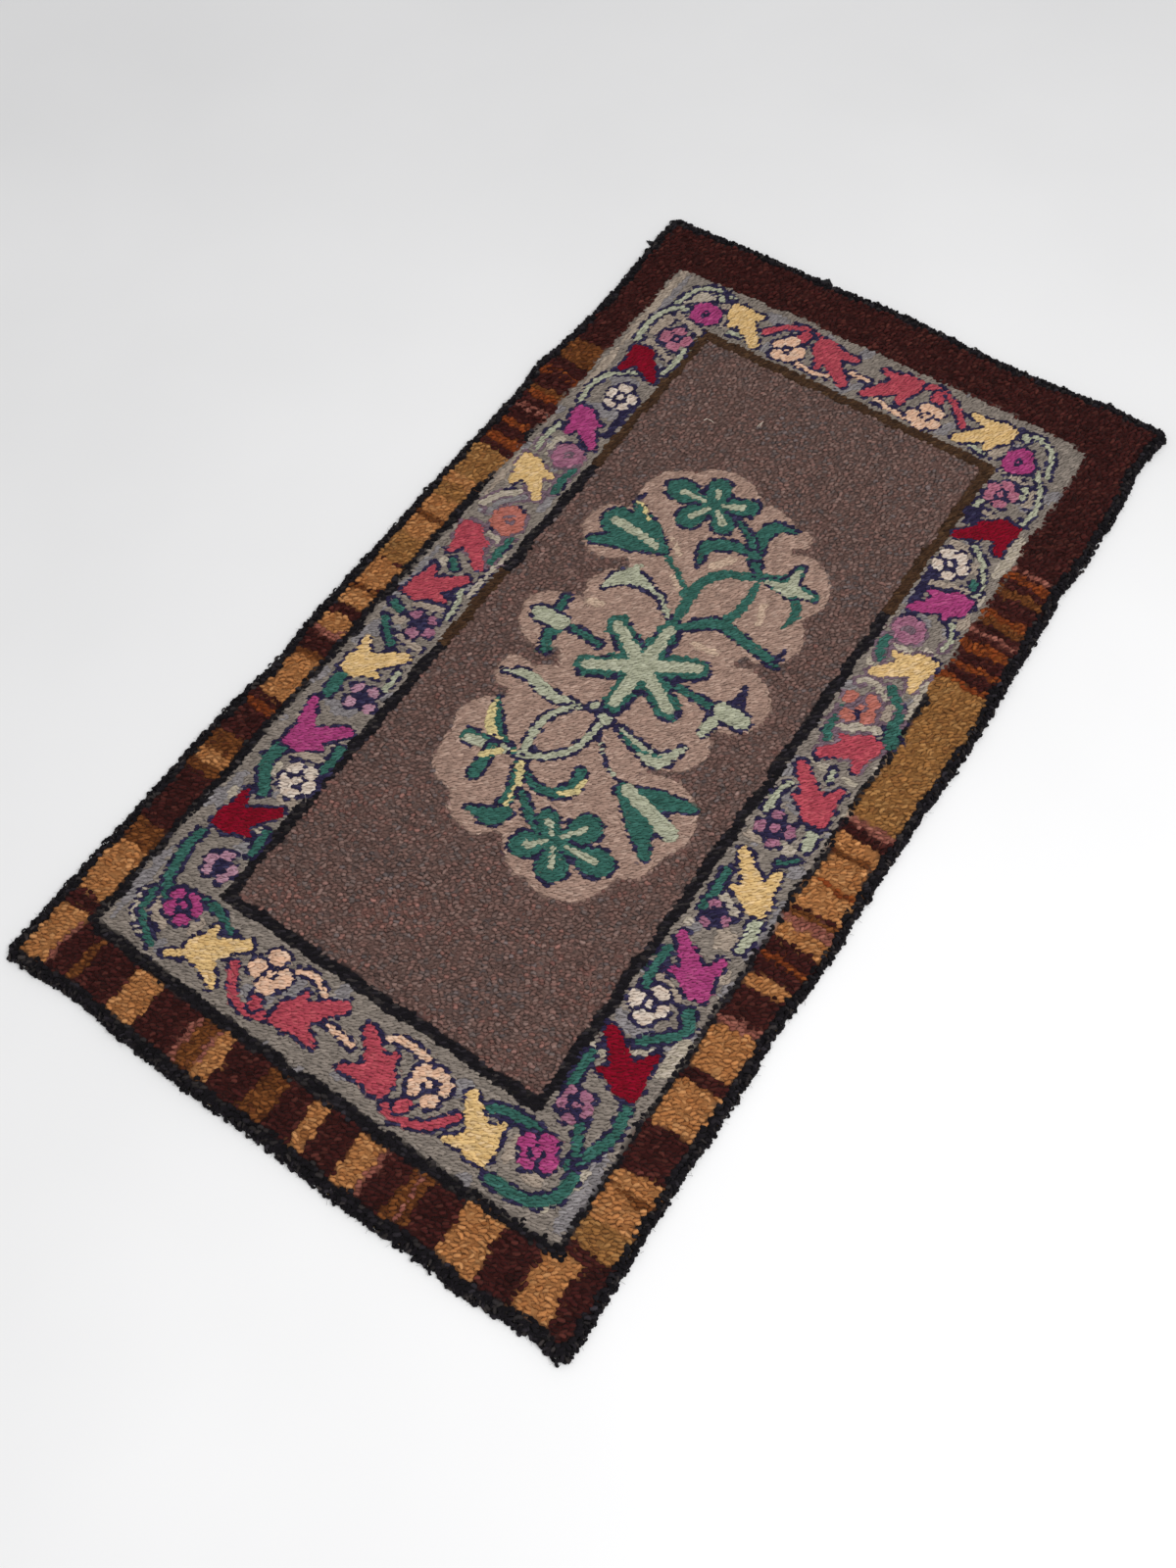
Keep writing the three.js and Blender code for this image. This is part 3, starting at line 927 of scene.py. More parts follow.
def chart_medallion(chart):
    """The tan cloud in the middle of the field with its flowers and leaves."""
    x, y = chart.x, chart.y
    chart.hook(past_cloud(x, y) < 0, "tan")
    for leaf in LEAVES:
        chart.motif(stroke(x, y, leaf.points, leaf.widths), leaf.wool, leaf.outline)
    chart_star(chart)
    for group in (CUPS[:6], CUPS[6:10], CUPS[10:]):
        chart_cup(chart, group)
    for number, middle in enumerate(FLOWERS):
        chart_round_flower(chart, middle, [p for p in ROUND_PETALS if p.flower == number])


def chart_star(chart):
    """The six-petalled flower in the middle."""
    x, y = chart.x, chart.y

    def petals(x, y):
        best = np.full(len(x), FAR_AWAY)
        for i in range(6):
            bearing = STAR_TURN + 60 * i
            length = STAR.reach + STAR_STRETCH * (bearing % 180 != 90)
            found = ray(x, y, (STAR.x, STAR.y), bearing, length, STAR_PETAL)
            best = np.minimum(best, found)
        return best

    shade = petals(x - STAR_SHADE, y + STAR_SHADE)
    chart.hook(shade < STAR_RIM + STAR_SHADE_RIM, "navy")
    chart.motif(petals(x, y), "sage", "teal", STAR_RIM)


def chart_cup(chart, parts):
    """A flower whose parts share one outline."""
    x, y = chart.x, chart.y
    found = [stroke(x, y, part.points, part.widths) for part in parts]
    outlined = [d for d, part in zip(found, parts) if part.outline]
    chart.hook(np.min(outlined, axis=0) < CUP_ROW, "navy")
    for distance, part in zip(found, parts):
        chart.hook(distance < 0, part.wool)


def chart_round_flower(chart, middle, petals):
    """A flower of round petals with a pale streak in each."""
    x, y = chart.x, chart.y
    whole = np.hypot(x - middle.x, y - middle.y) - middle.reach
    streaks = np.full(len(x), FAR_AWAY)
    for p in petals:
        half = (p.length - p.width) / 2
        body = ray(x, y, (p.x, p.y), p.bearing, half + 0.1, (p.width,), -half)
        neck = stroke(x, y, [(middle.x, middle.y), (p.x, p.y)], (NECK,))
        whole = np.minimum(whole, np.minimum(body, neck))
        inner = (0.7 * middle.x + 0.3 * p.x, 0.7 * middle.y + 0.3 * p.y)
        streak = stroke(x, y, [inner, (p.x, p.y)], (0.6 * STREAK, STREAK))
        streaks = np.minimum(streaks, streak)
    chart.motif(whole, "teal", "navy", ROUND_ROW)
    chart.hook(streaks < 0, "sage")


def chart_border(chart):
    """The flowers, rosettes and vines of the border."""
    x, y = chart.x, chart.y
    for vine in VINES:
        distance = stroke(x, y, vine.points, vine.widths)
        chart.motif(distance, vine.wool, "navy", STRIP_ROW if vine.wool in STRIP_WOOLS else ROW)
    for rosette in ROSETTES:
        chart_rosette(chart, rosette)
    for tulip in TULIPS:
        chart_tulip(chart, tulip)
    beside = (np.abs(x) > SOFT_SIDES) & (np.abs(y - SOFT_MIDDLE) < SOFT_REACH)
    soft = beside & (past_ground(x, y) < 0) & (drifts(x, y, SOFT_DRIFT) > SOFT_LEVEL)
    chart.hook(soft & (chart.wool == WOOL_NUMBER["navy"]), "dusk")


def chart_rosette(chart, rosette):
    """A small flower made of blobs in navy."""
    x, y = chart.x, chart.y
    draw = np.random.default_rng(abs(int(rosette.x * 7 + rosette.y * 3)))
    best = np.full(len(x), FAR_AWAY)
    for i in range(rosette.blobs):
        way = math.radians(rosette.turn + 360 / rosette.blobs * (i + draw.uniform(-0.18, 0.18)))
        reach = rosette.ring * draw.uniform(0.88, 1.12)
        bx, by = rosette.x + reach * math.cos(way), rosette.y + reach * math.sin(way)
        size = rosette.blob * draw.uniform(0.85, 1.12)
        across = (-math.sin(way) * BLOB_HALF, math.cos(way) * BLOB_HALF)
        ends = [(bx - across[0], by - across[1]), (bx + across[0], by + across[1])]
        best = np.minimum(best, stroke(x, y, ends, (size,)))
    chart.hook(best < ROW * chart.evenness, "navy")
    chart.hook(np.hypot(x - rosette.x, y - rosette.y) < rosette.ring, "navy")
    chart.hook(best < 0, rosette.wool)
    if rosette.middle:
        centre = np.hypot(x - rosette.x, y - rosette.y) - rosette.middle / 2
        chart.motif(centre, rosette.wool, "navy", INNER_ROW)


def chart_tulip(chart, tulip):
    """A flower of three petals that spring from a round bulb."""
    x, y = chart.x, chart.y
    foot = (tulip.x, tulip.y)
    bearings = (tulip.bearing_a, tulip.bearing_b, tulip.bearing_c)
    lengths = (tulip.length_a, tulip.length_b, tulip.length_c)
    best = np.hypot(x - tulip.x, y - tulip.y) - TULIP_BULB / 2
    for bearing, length, (short, widths) in zip(bearings, lengths, TULIP_PETALS):
        best = np.minimum(best, ray(x, y, foot, bearing, length - short, widths))
    heel = ray(x, y, foot, tulip.bearing_b + 180, TULIP_HEEL, HEEL_WIDTHS)
    chart.motif(np.minimum(best, heel), tulip.wool, "navy", ROW)


def draw_rug(x, y):
    """The number of the wool that each spot of the rug is hooked in."""
    chart = Chart(x, y)
    chart_band(chart)
    chart_grounds(chart)
    chart_medallion(chart)
    chart_border(chart)
    rows = np.interp(y, NEAR_EDGE_FROM, [NEAR_EDGE_ROWS, EDGE_ROWS])
    chart.hook(inset(x, y) < rows + drifts(x, y, EDGE_SHAKE), "charcoal")
    return chart.wool


# ---- Properties a user would change -----------------------------------------------------------


def distance(name, description, value, least):
    """A distance in millimetres that a user may change."""
    return FloatProperty(
        name=name,
        description=description,
        default=value * MM,
        min=least * MM,
        subtype="DISTANCE",
        unit="LENGTH",
    )


class RugPile(bpy.types.PropertyGroup):
    """Sizes of the hooked loops."""

    close_along: distance(
        "Close pile, along",
        "Distance between loops along a row in the border and the medallion",
        5.8,
        3.5,
    )
    close_across: distance(
        "Close pile, across",
        "Distance between rows in the border and the medallion",
        2.5,
        1.8,
    )
    plain_along: distance(
        "Plain field, along", "Distance between loops along a row in the plain field", 6.5, 5
    )
    plain_across: distance(
        "Plain field, across", "Distance between rows in the plain field", 3.08, 2
    )
    lofty_along: distance(
        "Lofty band, along", "Distance between loops along a row in the outer band", 7.5, 5
    )
    lofty_across: distance(
        "Lofty band, across", "Distance between rows in the outer band", 3.3, 2.5
    )
    edge_yarn: distance("Edge yarn", "Thickness of the yarn in the black edge", 3.6, 1)
    heading: FloatProperty(
        name="Heading of the rows",
        description="Way in which the hooked rows run at the middle of the rug",
        default=math.radians(46),
        subtype="ANGLE",
        unit="ROTATION",
    )
    seed: IntProperty(
        name="Seed",
        description="Starts the random lie of the loops",
        default=5,
        min=0,
    )


class RugWools(bpy.types.PropertyGroup):
    """Colours of the dyed wools."""


for wool_name, wool in WOOLS.items():
    RugWools.__annotations__[wool_name] = FloatVectorProperty(
        name=wool_name.capitalize(),
        description=f"Wool for {wool.use}",
        default=linear(wool.shade),
        size=3,
        min=0.0,
        max=1.0,
        subtype="COLOR",
    )


class RugStudio(bpy.types.PropertyGroup):
    """The floor and the light round the rug."""

    floor_size: FloatProperty(
        name="Floor size",
        description="Length of each side of the floor",
        default=9.0,
        min=3.0,
        subtype="DISTANCE",
        unit="LENGTH",
    )
    lamp_power: FloatProperty(
        name="Lamp power",
        description="Power of the large soft lamp",
        default=29.0,
        min=0.0,
        unit="POWER",
    )
    sky: FloatProperty(
        name="Room light",
        description="Strength of the even light that the white room gives",
        default=0.66,
        min=0.0,
    )


# ---- Node and mesh helpers --------------------------------------------------------------------


def add_node(tree, kind, links=(), **settings):
    """Adds a node with its settings; links pairs one of its inputs with another's output."""
    node = tree.nodes.new(kind)
    for key, value in settings.items():
        if key.startswith("in_"):
            node.inputs[key[3:].replace("_", " ")].default_value = value
        else:
            setattr(node, key, value)
    for name, source in links:
        tree.links.new(source, node.inputs[name])
    return node


def new_material(name):
    """An empty node material and its output node."""
    material = bpy.data.materials.new(name)
    material.use_nodes = True
    material.node_tree.nodes.clear()
    return material, add_node(material.node_tree, "ShaderNodeOutputMaterial")


def wool_yarn(name, fibre, bump, felting, mottle):
    """Carded wool, spun thick and dyed, as it shows in hooked loops.

    Each loop brings its colour in an attribute: its dyed colour, with painted shade on the bed
    between the loops and painted light and shade on taller and lower clumps. Wool scatters light in
    a fuzz of crimped fibres, so it has no highlight but a soft pale sheen at its edges, and a
    fine broken relief. Fibres are 0.03 mm thick, far finer than can show, so
    the relief is drawn as tufts of the given size in millimetres, bump deep. The tufts are
    lighter or darker by the share mottle, and patches as wide as felting have dulled a little.
    """
    material, output = new_material(name)
    tree = material.node_tree
    place = add_node(tree, "ShaderNodeTexCoord")
    dye_and_painted_shade = add_node(tree, "ShaderNodeAttribute", attribute_name="dye_and_painted_shade")
    tufts = add_node(
        tree,
        "ShaderNodeTexNoise",
        [("Vector", place.outputs["Object"])],
        in_Scale=1 / (fibre * MM),
        in_Detail=3.0,
        in_Roughness=0.65,
    )
    felt = add_node(
        tree,
        "ShaderNodeTexNoise",
        [("Vector", place.outputs["Object"])],
        in_Scale=1 / (felting * MM),
        in_Detail=2.0,
    )
    tone = add_node(
        tree,
        "ShaderNodeMapRange",
        [("Value", tufts.outputs["Fac"])],
        in_From_Min=0.3,
        in_From_Max=0.7,
        in_To_Min=1 - 1.2 * mottle,
        in_To_Max=1 + mottle,
    )
    age = add_node(
        tree,
        "ShaderNodeMapRange",
        [("Value", felt.outputs["Fac"])],
        in_From_Min=0.3,
        in_From_Max=0.7,
        in_To_Min=0.94,
        in_To_Max=1.06,
    )
    both = add_node(
        tree,
        "ShaderNodeMath",
        [(0, tone.outputs["Result"]), (1, age.outputs["Result"])],
        operation="MULTIPLY",
    )
    colour = add_node(
        tree,
        "ShaderNodeVectorMath",
        [(0, dye_and_painted_shade.outputs["Color"]), ("Scale", both.outputs["Value"])],
        operation="SCALE",
    )
    relief = add_node(
        tree,
        "ShaderNodeBump",
        [("Height", tufts.outputs["Fac"])],
        in_Strength=0.75,
        in_Distance=bump * MM,
    )
    shader = add_node(
        tree,
        "ShaderNodeBsdfPrincipled",
        [("Base Color", colour.outputs["Vector"]), ("Normal", relief.outputs["Normal"])],
        in_Roughness=0.92,
        in_IOR=1.54,
        in_Specular_IOR_Level=0.08,
        in_Sheen_Weight=0.02,
        in_Sheen_Roughness=0.5,
    )
    tree.links.new(shader.outputs["BSDF"], output.inputs["Surface"])
    return material


def new_piece(name, corners, faces, material):
    """A mesh piece from corners in mm and rows of corner numbers, all of one count a row."""
    mesh = bpy.data.meshes.new(name)
    count = [len(rows) * rows.shape[1] for rows in faces]
    mesh.vertices.add(len(corners))
    mesh.vertices.foreach_set("co", (corners * MM).astype(np.float32).ravel())
    mesh.loops.add(sum(count))
    mesh.loops.foreach_set(
        "vertex_index", np.concatenate([rows.ravel() for rows in faces]).astype(np.int32)
    )
    sizes = np.concatenate([np.full(len(rows), rows.shape[1]) for rows in faces])
    starts = np.concatenate([[0], np.cumsum(sizes)[:-1]]).astype(np.int32)
    mesh.polygons.add(len(sizes))
    mesh.polygons.foreach_set("loop_start", starts)
    mesh.polygons.foreach_set("use_smooth", np.ones(len(sizes), bool))
    mesh.update(calc_edges=True)
    mesh.materials.append(material)
    piece = bpy.data.objects.new(name, mesh)
    bpy.context.collection.objects.link(piece)
    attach(piece, "root")
    return piece


def store_dye_and_shade(piece, colours):
    """Stores a colour at each corner, and a plan map on which a bake can put it."""
    mesh = piece.data
    stored = mesh.attributes.new("dye_and_painted_shade", "FLOAT_COLOR", "POINT")
    rgba = np.ones((len(mesh.vertices), 4), np.float32)
    rgba[:, :3] = np.clip(colours, 0, 1)
    stored.data.foreach_set("color", rgba.ravel())
    corners = np.zeros(len(mesh.vertices) * 3, np.float32)
    mesh.vertices.foreach_get("co", corners)
    corners = corners.reshape(-1, 3)
    numbers = np.zeros(len(mesh.loops), np.int32)
    mesh.loops.foreach_get("vertex_index", numbers)
    low, high = corners.min(axis=0), corners.max(axis=0)
    plan = (corners[:, :2] - low[:2]) / (high[:2] - low[:2])
    uv = mesh.uv_layers.new(name="OFBake")
    uv.data.foreach_set("uv", plan[numbers].astype(np.float32).ravel())


# ---- Yarn loops -------------------------------------------------------------------------------

# A loop is an arch of yarn. Stations run along it, from foot to foot: place along the
# half length, share of the rise, share of the yarn's thickness.
Station = namedtuple("Station", "place rise thick")
STATIONS = [Station(-0.70, 0.80, 0.90), Station(0.0, 1.0, 1.0), Station(0.70, 0.80, 0.90)]
# The yarn's section: across and up, as shares of its thickness, seen along the loop.
SECTION = [(0.0, 0.34), (0.5, -0.16), (-0.5, -0.16)]


def unit(v):
    """Rows of vectors, each drawn out or in to a length of 1."""
    return v / np.linalg.norm(v, axis=1)[:, None]


def repeated(kinds, count, corners):
    """The faces of one body, in rows of each kind, for count bodies of so many corners."""
    start = (np.arange(count) * corners)[:, None, None]
    return [(start + np.array(rows)[None]).reshape(-1, len(rows[0])) for rows in kinds]


def loop_mesh(foot, along, up, length, thick, tall, rise, sway):
    """Corners and faces of many loops: each has 2 feet and 3 rings of 3 corners."""
    along = unit(along)
    side = unit(np.cross(up, along))
    up = np.cross(along, side)
    half = (length / 2)[:, None]
    rings = []
    for s in STATIONS:
        middle = foot + along * half * s.place + up * (rise * s.rise)[:, None]
        middle = middle + side * (sway * (1 - abs(s.place)))[:, None]
        for across, over in SECTION:
            wide, high = (thick * s.thick)[:, None], (tall * s.thick)[:, None]
            rings.append(middle + side * across * wide + up * over * high)
    corners = np.stack([foot - along * half, *rings, foot + along * half], axis=1)
    n, k = len(foot), len(SECTION)
    last = 1 + k * len(STATIONS)
    triangles, quads = [], []
    for i in range(k):
        j = (i + 1) % k
        triangles.append((0, 1 + i, 1 + j))
        triangles.append((last, last - k + j, last - k + i))
        for ring in range(len(STATIONS) - 1):
            a = 1 + ring * k
            quads.append((a + j, a + i, a + k + i, a + k + j))
    return corners.reshape(-1, 3), repeated((triangles, quads), n, last + 1), last + 1


FLECK_AMOUNT = (0.35, 1.0)  # how far a loop with a fleck goes towards the fleck's shade


def loop_dyes(wools, number, draw):
    """Each loop's linear colour: its wool's shade or one of its flecks, unevenly taken up."""
    colours = np.zeros((len(number), 3))
    for index, (name, wool) in enumerate(WOOLS.items()):
        mine = np.flatnonzero(number == index)
        if not len(mine):
            continue
        base = np.array(getattr(wools, name))
        flecks = np.array([linear(fleck) for fleck in wool.flecks])
        pick = draw.integers(0, len(flecks), len(mine))
        amount = draw.random(len(mine)) < wool.share
        amount = amount * draw.uniform(*FLECK_AMOUNT, len(mine))
        mixed = base + (flecks[pick] - base) * amount[:, None]
        colours[mine] = mixed * (1 + wool.uneven * draw.normal(0, 1, len(mine)))[:, None]
    return np.clip(colours, 0.002, 1)


# How the loops of a kind of pile lie: yarn thickness as a share of the row spacing, its height
# as a share of that, length as a share of the pitch, rise in mm, how far in mm, degrees and
# slope the loops stray, how much lighter taller clumps and darker lower clumps are painted
# (painted light and shade), and how far they turn along the edges of the motifs.
Lie = namedtuple("Lie", "name thick tall length rise uneven turn lean clumps follow")
LIES = [
    Lie("close", 1.55, 0.45, 1.70, 2.2, 0.16, 9, 0.04, 0.07, 0.50),
    Lie("plain", 1.50, 0.50, 1.10, 2.8, 0.72, 19, 0.09, 0.20, 0.30),
    Lie("lofty", 1.42, 0.54, 1.20, 3.4, 0.80, 17, 0.14, 0.15, 0.25),
]


# The share of a loop's pitch and of a row's spacing by which each loop is shaken.
SHAKE_ALONG, SHAKE_ACROSS = 0.20, 0.18
LATTICE_MARGIN = 20.0


def lattice(along, across, heading, draw):
    """Spots for loops in diagonal hooked rows over the whole rug, a little shaken."""
    reach = math.hypot(RUG_WIDTH, RUG_LENGTH) / 2 + LATTICE_MARGIN
    rows = np.arange(-int(reach / across), int(reach / across) + 1)
    places = np.arange(-int(reach / along), int(reach / along) + 1)
    row, place = np.meshgrid(rows, places, indexing="ij")
    shift = draw.random(len(rows))[:, None]
    a = (place + shift + draw.uniform(-SHAKE_ALONG, SHAKE_ALONG, row.shape)) * along
    c = (row + draw.uniform(-SHAKE_ACROSS, SHAKE_ACROSS, row.shape)) * across
    cos, sin = math.cos(heading), math.sin(heading)
    return (a * cos - c * sin).ravel(), (a * sin + c * cos).ravel()


STRAIGHT_PULL = 2.4  # what the eight ways add up to beside a straight edge


def pull_from_edges(x, y, number, reach):
    """How each spot is pulled away from spots within reach that are in another wool."""
    pull = np.zeros((len(x), 2))
    for turn in np.arange(8) * math.pi / 4:
        way = np.array([math.cos(turn), math.sin(turn)])
        other = draw_rug(x + reach * way[0], y + reach * way[1]) != number
        pull -= other[:, None] * way
    return pull / STRAIGHT_PULL


# The pieces of hooked pile: name, zone, part of the rug, and how the loops lie.
PilePiece = namedtuple("PilePiece", "name zone part lie")
CLOSE, PLAIN, LOFTY = LIES
PILE_PIECES = [
    PilePiece("pile_band_far", "band", "far", LOFTY),
    PilePiece("pile_band_near", "band", "near", LOFTY),
    PilePiece("pile_border_far", "border", "far", CLOSE),
    PilePiece("pile_border_near", "border", "near", CLOSE),
    PilePiece("pile_field_far", "field", "far", PLAIN),
    PilePiece("pile_field_near", "field", "near", PLAIN),
    PilePiece("pile_medallion", "medallion", "whole", CLOSE),
]


def in_piece(piece, x, y):
    """Whether each spot belongs to a piece of the pile."""
    in_border = past_ground(x, y) < 0
    plain = in_field(x, y)
    in_cloud = past_cloud(x, y) < 0
    zone = {
        "band": ~in_border,
        "border": in_border & ~plain,
        "field": plain & ~in_cloud,
        "medallion": in_cloud,
    }[piece.zone]
    return zone & ((y > 0) == (piece.part == "far") if piece.part != "whole" else True)


HEADING_TURN = 0.032  # degrees that the loops turn by for each mm along the rug
OUTER_ROWS = 8.0  # the outer rows of the edge are hooked apart from the rest
EDGE_SIGHT = 0.42  # share of the pitch within which a loop turns along an edge of the drawing
EDGE_SHORTER = 0.2  # how much shorter the loops are there

# Clumps of loops stand taller or lie lower, and the taller are painted lighter and the lower darker
# as painted light and shade: reach in mm and weight of each of the drifts that place them, and
# their share and the loop's own in how far it strays.
CLUMPS = [(3.2, 1.0), (8.0, 0.6)]
CLUMP_SEED = 90
CLUMP_SHARE, OWN_SHARE = 0.75, 0.3
STRAY_LIMITS = (-2.0, 1.6)


def pile_loops(context, piece, material, seed):
    """One piece of hooked pile: the lattice's loops that belong to it."""
    pile, wools, lie = context.scene.rug_pile, context.scene.rug_wools, piece.lie
    draw = np.random.default_rng(pile.seed + seed)
    pitch = getattr(pile, lie.name + "_along") / MM
    spacing = getattr(pile, lie.name + "_across") / MM
    x, y = lattice(pitch, spacing, pile.heading, np.random.default_rng(pile.seed))
    inside = in_piece(piece, x, y) & (inset(x, y) > OUTER_ROWS)
    x, y = x[inside], y[inside]
    n = len(x)
    number = draw_rug(x, y)
    pull = pull_from_edges(x, y, number, EDGE_SIGHT * pitch)
    near_edge = np.minimum(np.hypot(*pull.T), 1)
    way = pile.heading + np.radians(HEADING_TURN * y + draw.normal(0, lie.turn, n))
    beside = np.arctan2(pull[:, 1], pull[:, 0]) + math.pi / 2
    turn = (beside - way + math.pi / 2) % math.pi - math.pi / 2
    way += turn * near_edge * lie.follow
    x, y = x + 0.5 * lie.follow * pull[:, 0], y + 0.5 * lie.follow * pull[:, 1]

    lean = draw.normal(0, lie.lean, (n, 2))
    up = np.column_stack([lean, np.ones(n)])
    along = np.column_stack([np.cos(way), np.sin(way), draw.normal(0, 0.5 * lie.lean, n)])
    thick = spacing * lie.thick * draw.uniform(0.88, 1.12, n)
    rise = lie.rise * draw.uniform(0.9, 1.1, n)
    length = pitch * lie.length * draw.uniform(0.85, 1.15, n) * (1 - EDGE_SHORTER * near_edge)
    clump = sum(
        weight * drift(x, y, reach, pile.seed + CLUMP_SEED + i)
        for i, (reach, weight) in enumerate(CLUMPS)
    )
    stray = OWN_SHARE * draw.normal(0, 1, n) + CLUMP_SHARE * clump
    crest = pile_top(x, y) + lie.uneven * np.clip(stray, *STRAY_LIMITS)
    tall = thick * lie.tall
    foot = np.column_stack([x, y, crest - rise - SECTION[0][1] * tall])
    sway = draw.normal(0, 0.25 * spacing, n)
    corners, faces, each = loop_mesh(foot, along, up, length, thick, tall, rise, sway)
    colours = loop_dyes(wools, number, draw)
    # Painted light and shade: taller clumps are coloured lighter, lower clumps darker.
    colours *= np.clip(1 + lie.clumps * clump, 0.5, 1.5)[:, None]
    shaded = colours[:, None] * (1 + draw.normal(0, 0.04, (n, each, 1)))
    made = new_piece(piece.name, corners, faces, material)
    store_dye_and_shade(made, shaded.reshape(-1, 3))


def rim(depth, pitch):
    """Spots about pitch apart round the rug, depth inside its outline, and the ways out."""
    bearing = np.linspace(0, 2 * math.pi, 9000, endpoint=False)
    cos, sin = np.cos(bearing), np.sin(bearing)
    low, high = np.zeros_like(bearing), np.full_like(bearing, RUG_LENGTH)
    for _ in range(26):
        middle = (low + high) / 2
        inside = inset(middle * cos, middle * sin) > depth
        low, high = np.where(inside, middle, low), np.where(inside, high, middle)
    line = np.column_stack([low * cos, low * sin])
    steps = np.linalg.norm(np.roll(line, -1, axis=0) - line, axis=1)
    travel = np.concatenate([[0], np.cumsum(steps)])
    count = int(travel[-1] / pitch)
    at = np.arange(count) * travel[-1] / count
    closed = np.vstack([line, line[:1]])
    spots = np.column_stack([np.interp(at, travel, closed[:, i]) for i in (0, 1)])
    run = unit(np.roll(spots, -1, axis=0) - np.roll(spots, 1, axis=0))
    return spots, np.column_stack([run[:, 1], -run[:, 0]])


# The rows of the black edge: depth inside the outline, height of the crests as a share of the
# band's, lean outwards, and length of the loops in mm.
EdgeRow = namedtuple("EdgeRow", "depth height lean length")
EDGE = [
    EdgeRow(6.6, 0.95, 0.25, 7.5),
    EdgeRow(3.3, 0.84, 0.80, 7.5),
    EdgeRow(1.2, 0.60, 1.60, 7.0),
    EdgeRow(0.6, 0.32, 3.20, 6.0),
]
EDGE_PITCH = 3.8
EDGE_RISE = 3.2
# The edge's loops are set in or out in tufts.
TUFT = Drift(1.2, 4, 61)
# How far each strays in and out and up and down in mm, and turns in radians.
EDGE_STRAY, EDGE_LIFT, EDGE_TURN = 0.9, 0.35, 0.85
EDGE_SEED = 40
EDGE_SUNK = 0.4  # the crests lie this much lower than the band's top


def edge_loops(context, name, material, seed):
    """The rim's loops of black wool, which lean out and down over the turned-under hem."""
    pile, wools = context.scene.rug_pile, context.scene.rug_wools
    draw = np.random.default_rng(pile.seed + seed)
    parts = []
    for row in EDGE:
        spots, out = rim(row.depth, EDGE_PITCH)
        n = len(spots)
        tufts = drifts(*spots.T, TUFT) + draw.normal(0, EDGE_STRAY, n)
        spots = spots + out * tufts[:, None]
        run = np.column_stack([-out[:, 1], out[:, 0]])
        turn = draw.normal(0, EDGE_TURN, n)[:, None]
        flat = out * np.cos(turn) + run * np.sin(turn)
        lean = row.lean * draw.uniform(0.8, 1.25, n)
        up = unit(np.column_stack([out * lean[:, None], np.ones(n)]))
        level = np.column_stack([flat, np.zeros(n)])
        along = level - up * (level * up).sum(axis=1)[:, None]
        thick = pile.edge_yarn / MM * draw.uniform(0.85, 1.2, n)
        rise = EDGE_RISE * draw.uniform(0.9, 1.15, n)
        length = row.length * draw.uniform(0.85, 1.2, n)
        crest = np.column_stack([spots, row.height * pile_top(*spots.T) - EDGE_SUNK])
        crest[:, 2] += draw.normal(0, EDGE_LIFT, n)
        foot = crest - up * (rise + SECTION[0][1] * thick)[:, None]
        parts.append((foot, along, up, length, thick, thick, rise, draw.normal(0, 0.6, n)))
    parts = [np.concatenate(part) for part in zip(*parts)]
    corners, faces, each = loop_mesh(*parts)
    corners[:, 2] = np.maximum(corners[:, 2], FLOOR_GAP)
    piece = new_piece(name, corners, faces, material)
    number = np.full(len(parts[0]), WOOL_NUMBER["charcoal"])
    colours = loop_dyes(wools, number, draw)
    store_dye_and_shade(piece, np.repeat(colours, each, axis=0))


# ---- The bed under the loops and the cloth -----------------------------------------------------

FLOOR_GAP = 0.15
CLOTH_TOP = 1.3
# The bed of yarn feet: how far it lies under the loops' tops, and how much its wool colour is
# darkened, as painted shade between the loops.
Bed = namedtuple("Bed", "depth shade")
CLOSE_BED = Bed(1.1, 0.90)
LOFTY_BED = Bed(1.8, 0.72)
BED_INSET, BED_STEP = 4.6, 8.0
BED_FALL, BED_FALL_REACH = 0.42, 3.0  # how far it falls away at the rim, and over what width
CLOTH_INSET, CLOTH_STEP = 3.8, 14.0


def slab(grid):
    """Faces of a closed slab whose underside repeats the corners of grid, and its border."""
    under = grid.size
    a, b, c, d = grid[:-1, :-1], grid[:-1, 1:], grid[1:, 1:], grid[1:, :-1]
    top = np.column_stack([part.ravel() for part in (a, b, c, d)])
    border = np.concatenate([grid[0, :-1], grid[:-1, -1], grid[-1, :0:-1], grid[:0:-1, 0]])
    after = np.roll(border, -1)
    side = np.column_stack([border + under, after + under, after, border])
    return top, side, border


def plate(depth, step, low, high, one_face_under=False):
    """Corners and faces of a closed plate on the rug's plan, depth inside its outline."""
    columns = round((RUG_WIDTH - 2 * depth) / step)
    rows = round((RUG_LENGTH - 2 * depth) / step)
    u, v = np.meshgrid(np.linspace(-1, 1, columns + 1), np.linspace(-1, 1, rows + 1))
    x, y = u * (RUG_WIDTH / 2 - depth), v * (RUG_LENGTH / 2 - depth)
    x += np.sign(u) * np.where(u < 0, swell("left", y), swell("right", y)) * np.abs(u) ** 3
    y += np.sign(v) * np.where(v < 0, swell("near", x), swell("far", x)) * np.abs(v) ** 3
    x, y = round_corners(x.ravel(), y.ravel(), depth)
    corners = np.concatenate([np.column_stack([x, y, f(x, y)]) for f in (high, low)])
    top, side, border = slab(np.arange(len(x)).reshape(rows + 1, columns + 1))
    if one_face_under:
        return corners, [np.concatenate([top, side]), border[None, ::-1] + len(x)]
    return corners, [np.concatenate([top, top[:, ::-1] + len(x), side])]


def at_height(height):
    """A plate's face that lies at one height."""
    return lambda x, y: np.full_like(x, height)


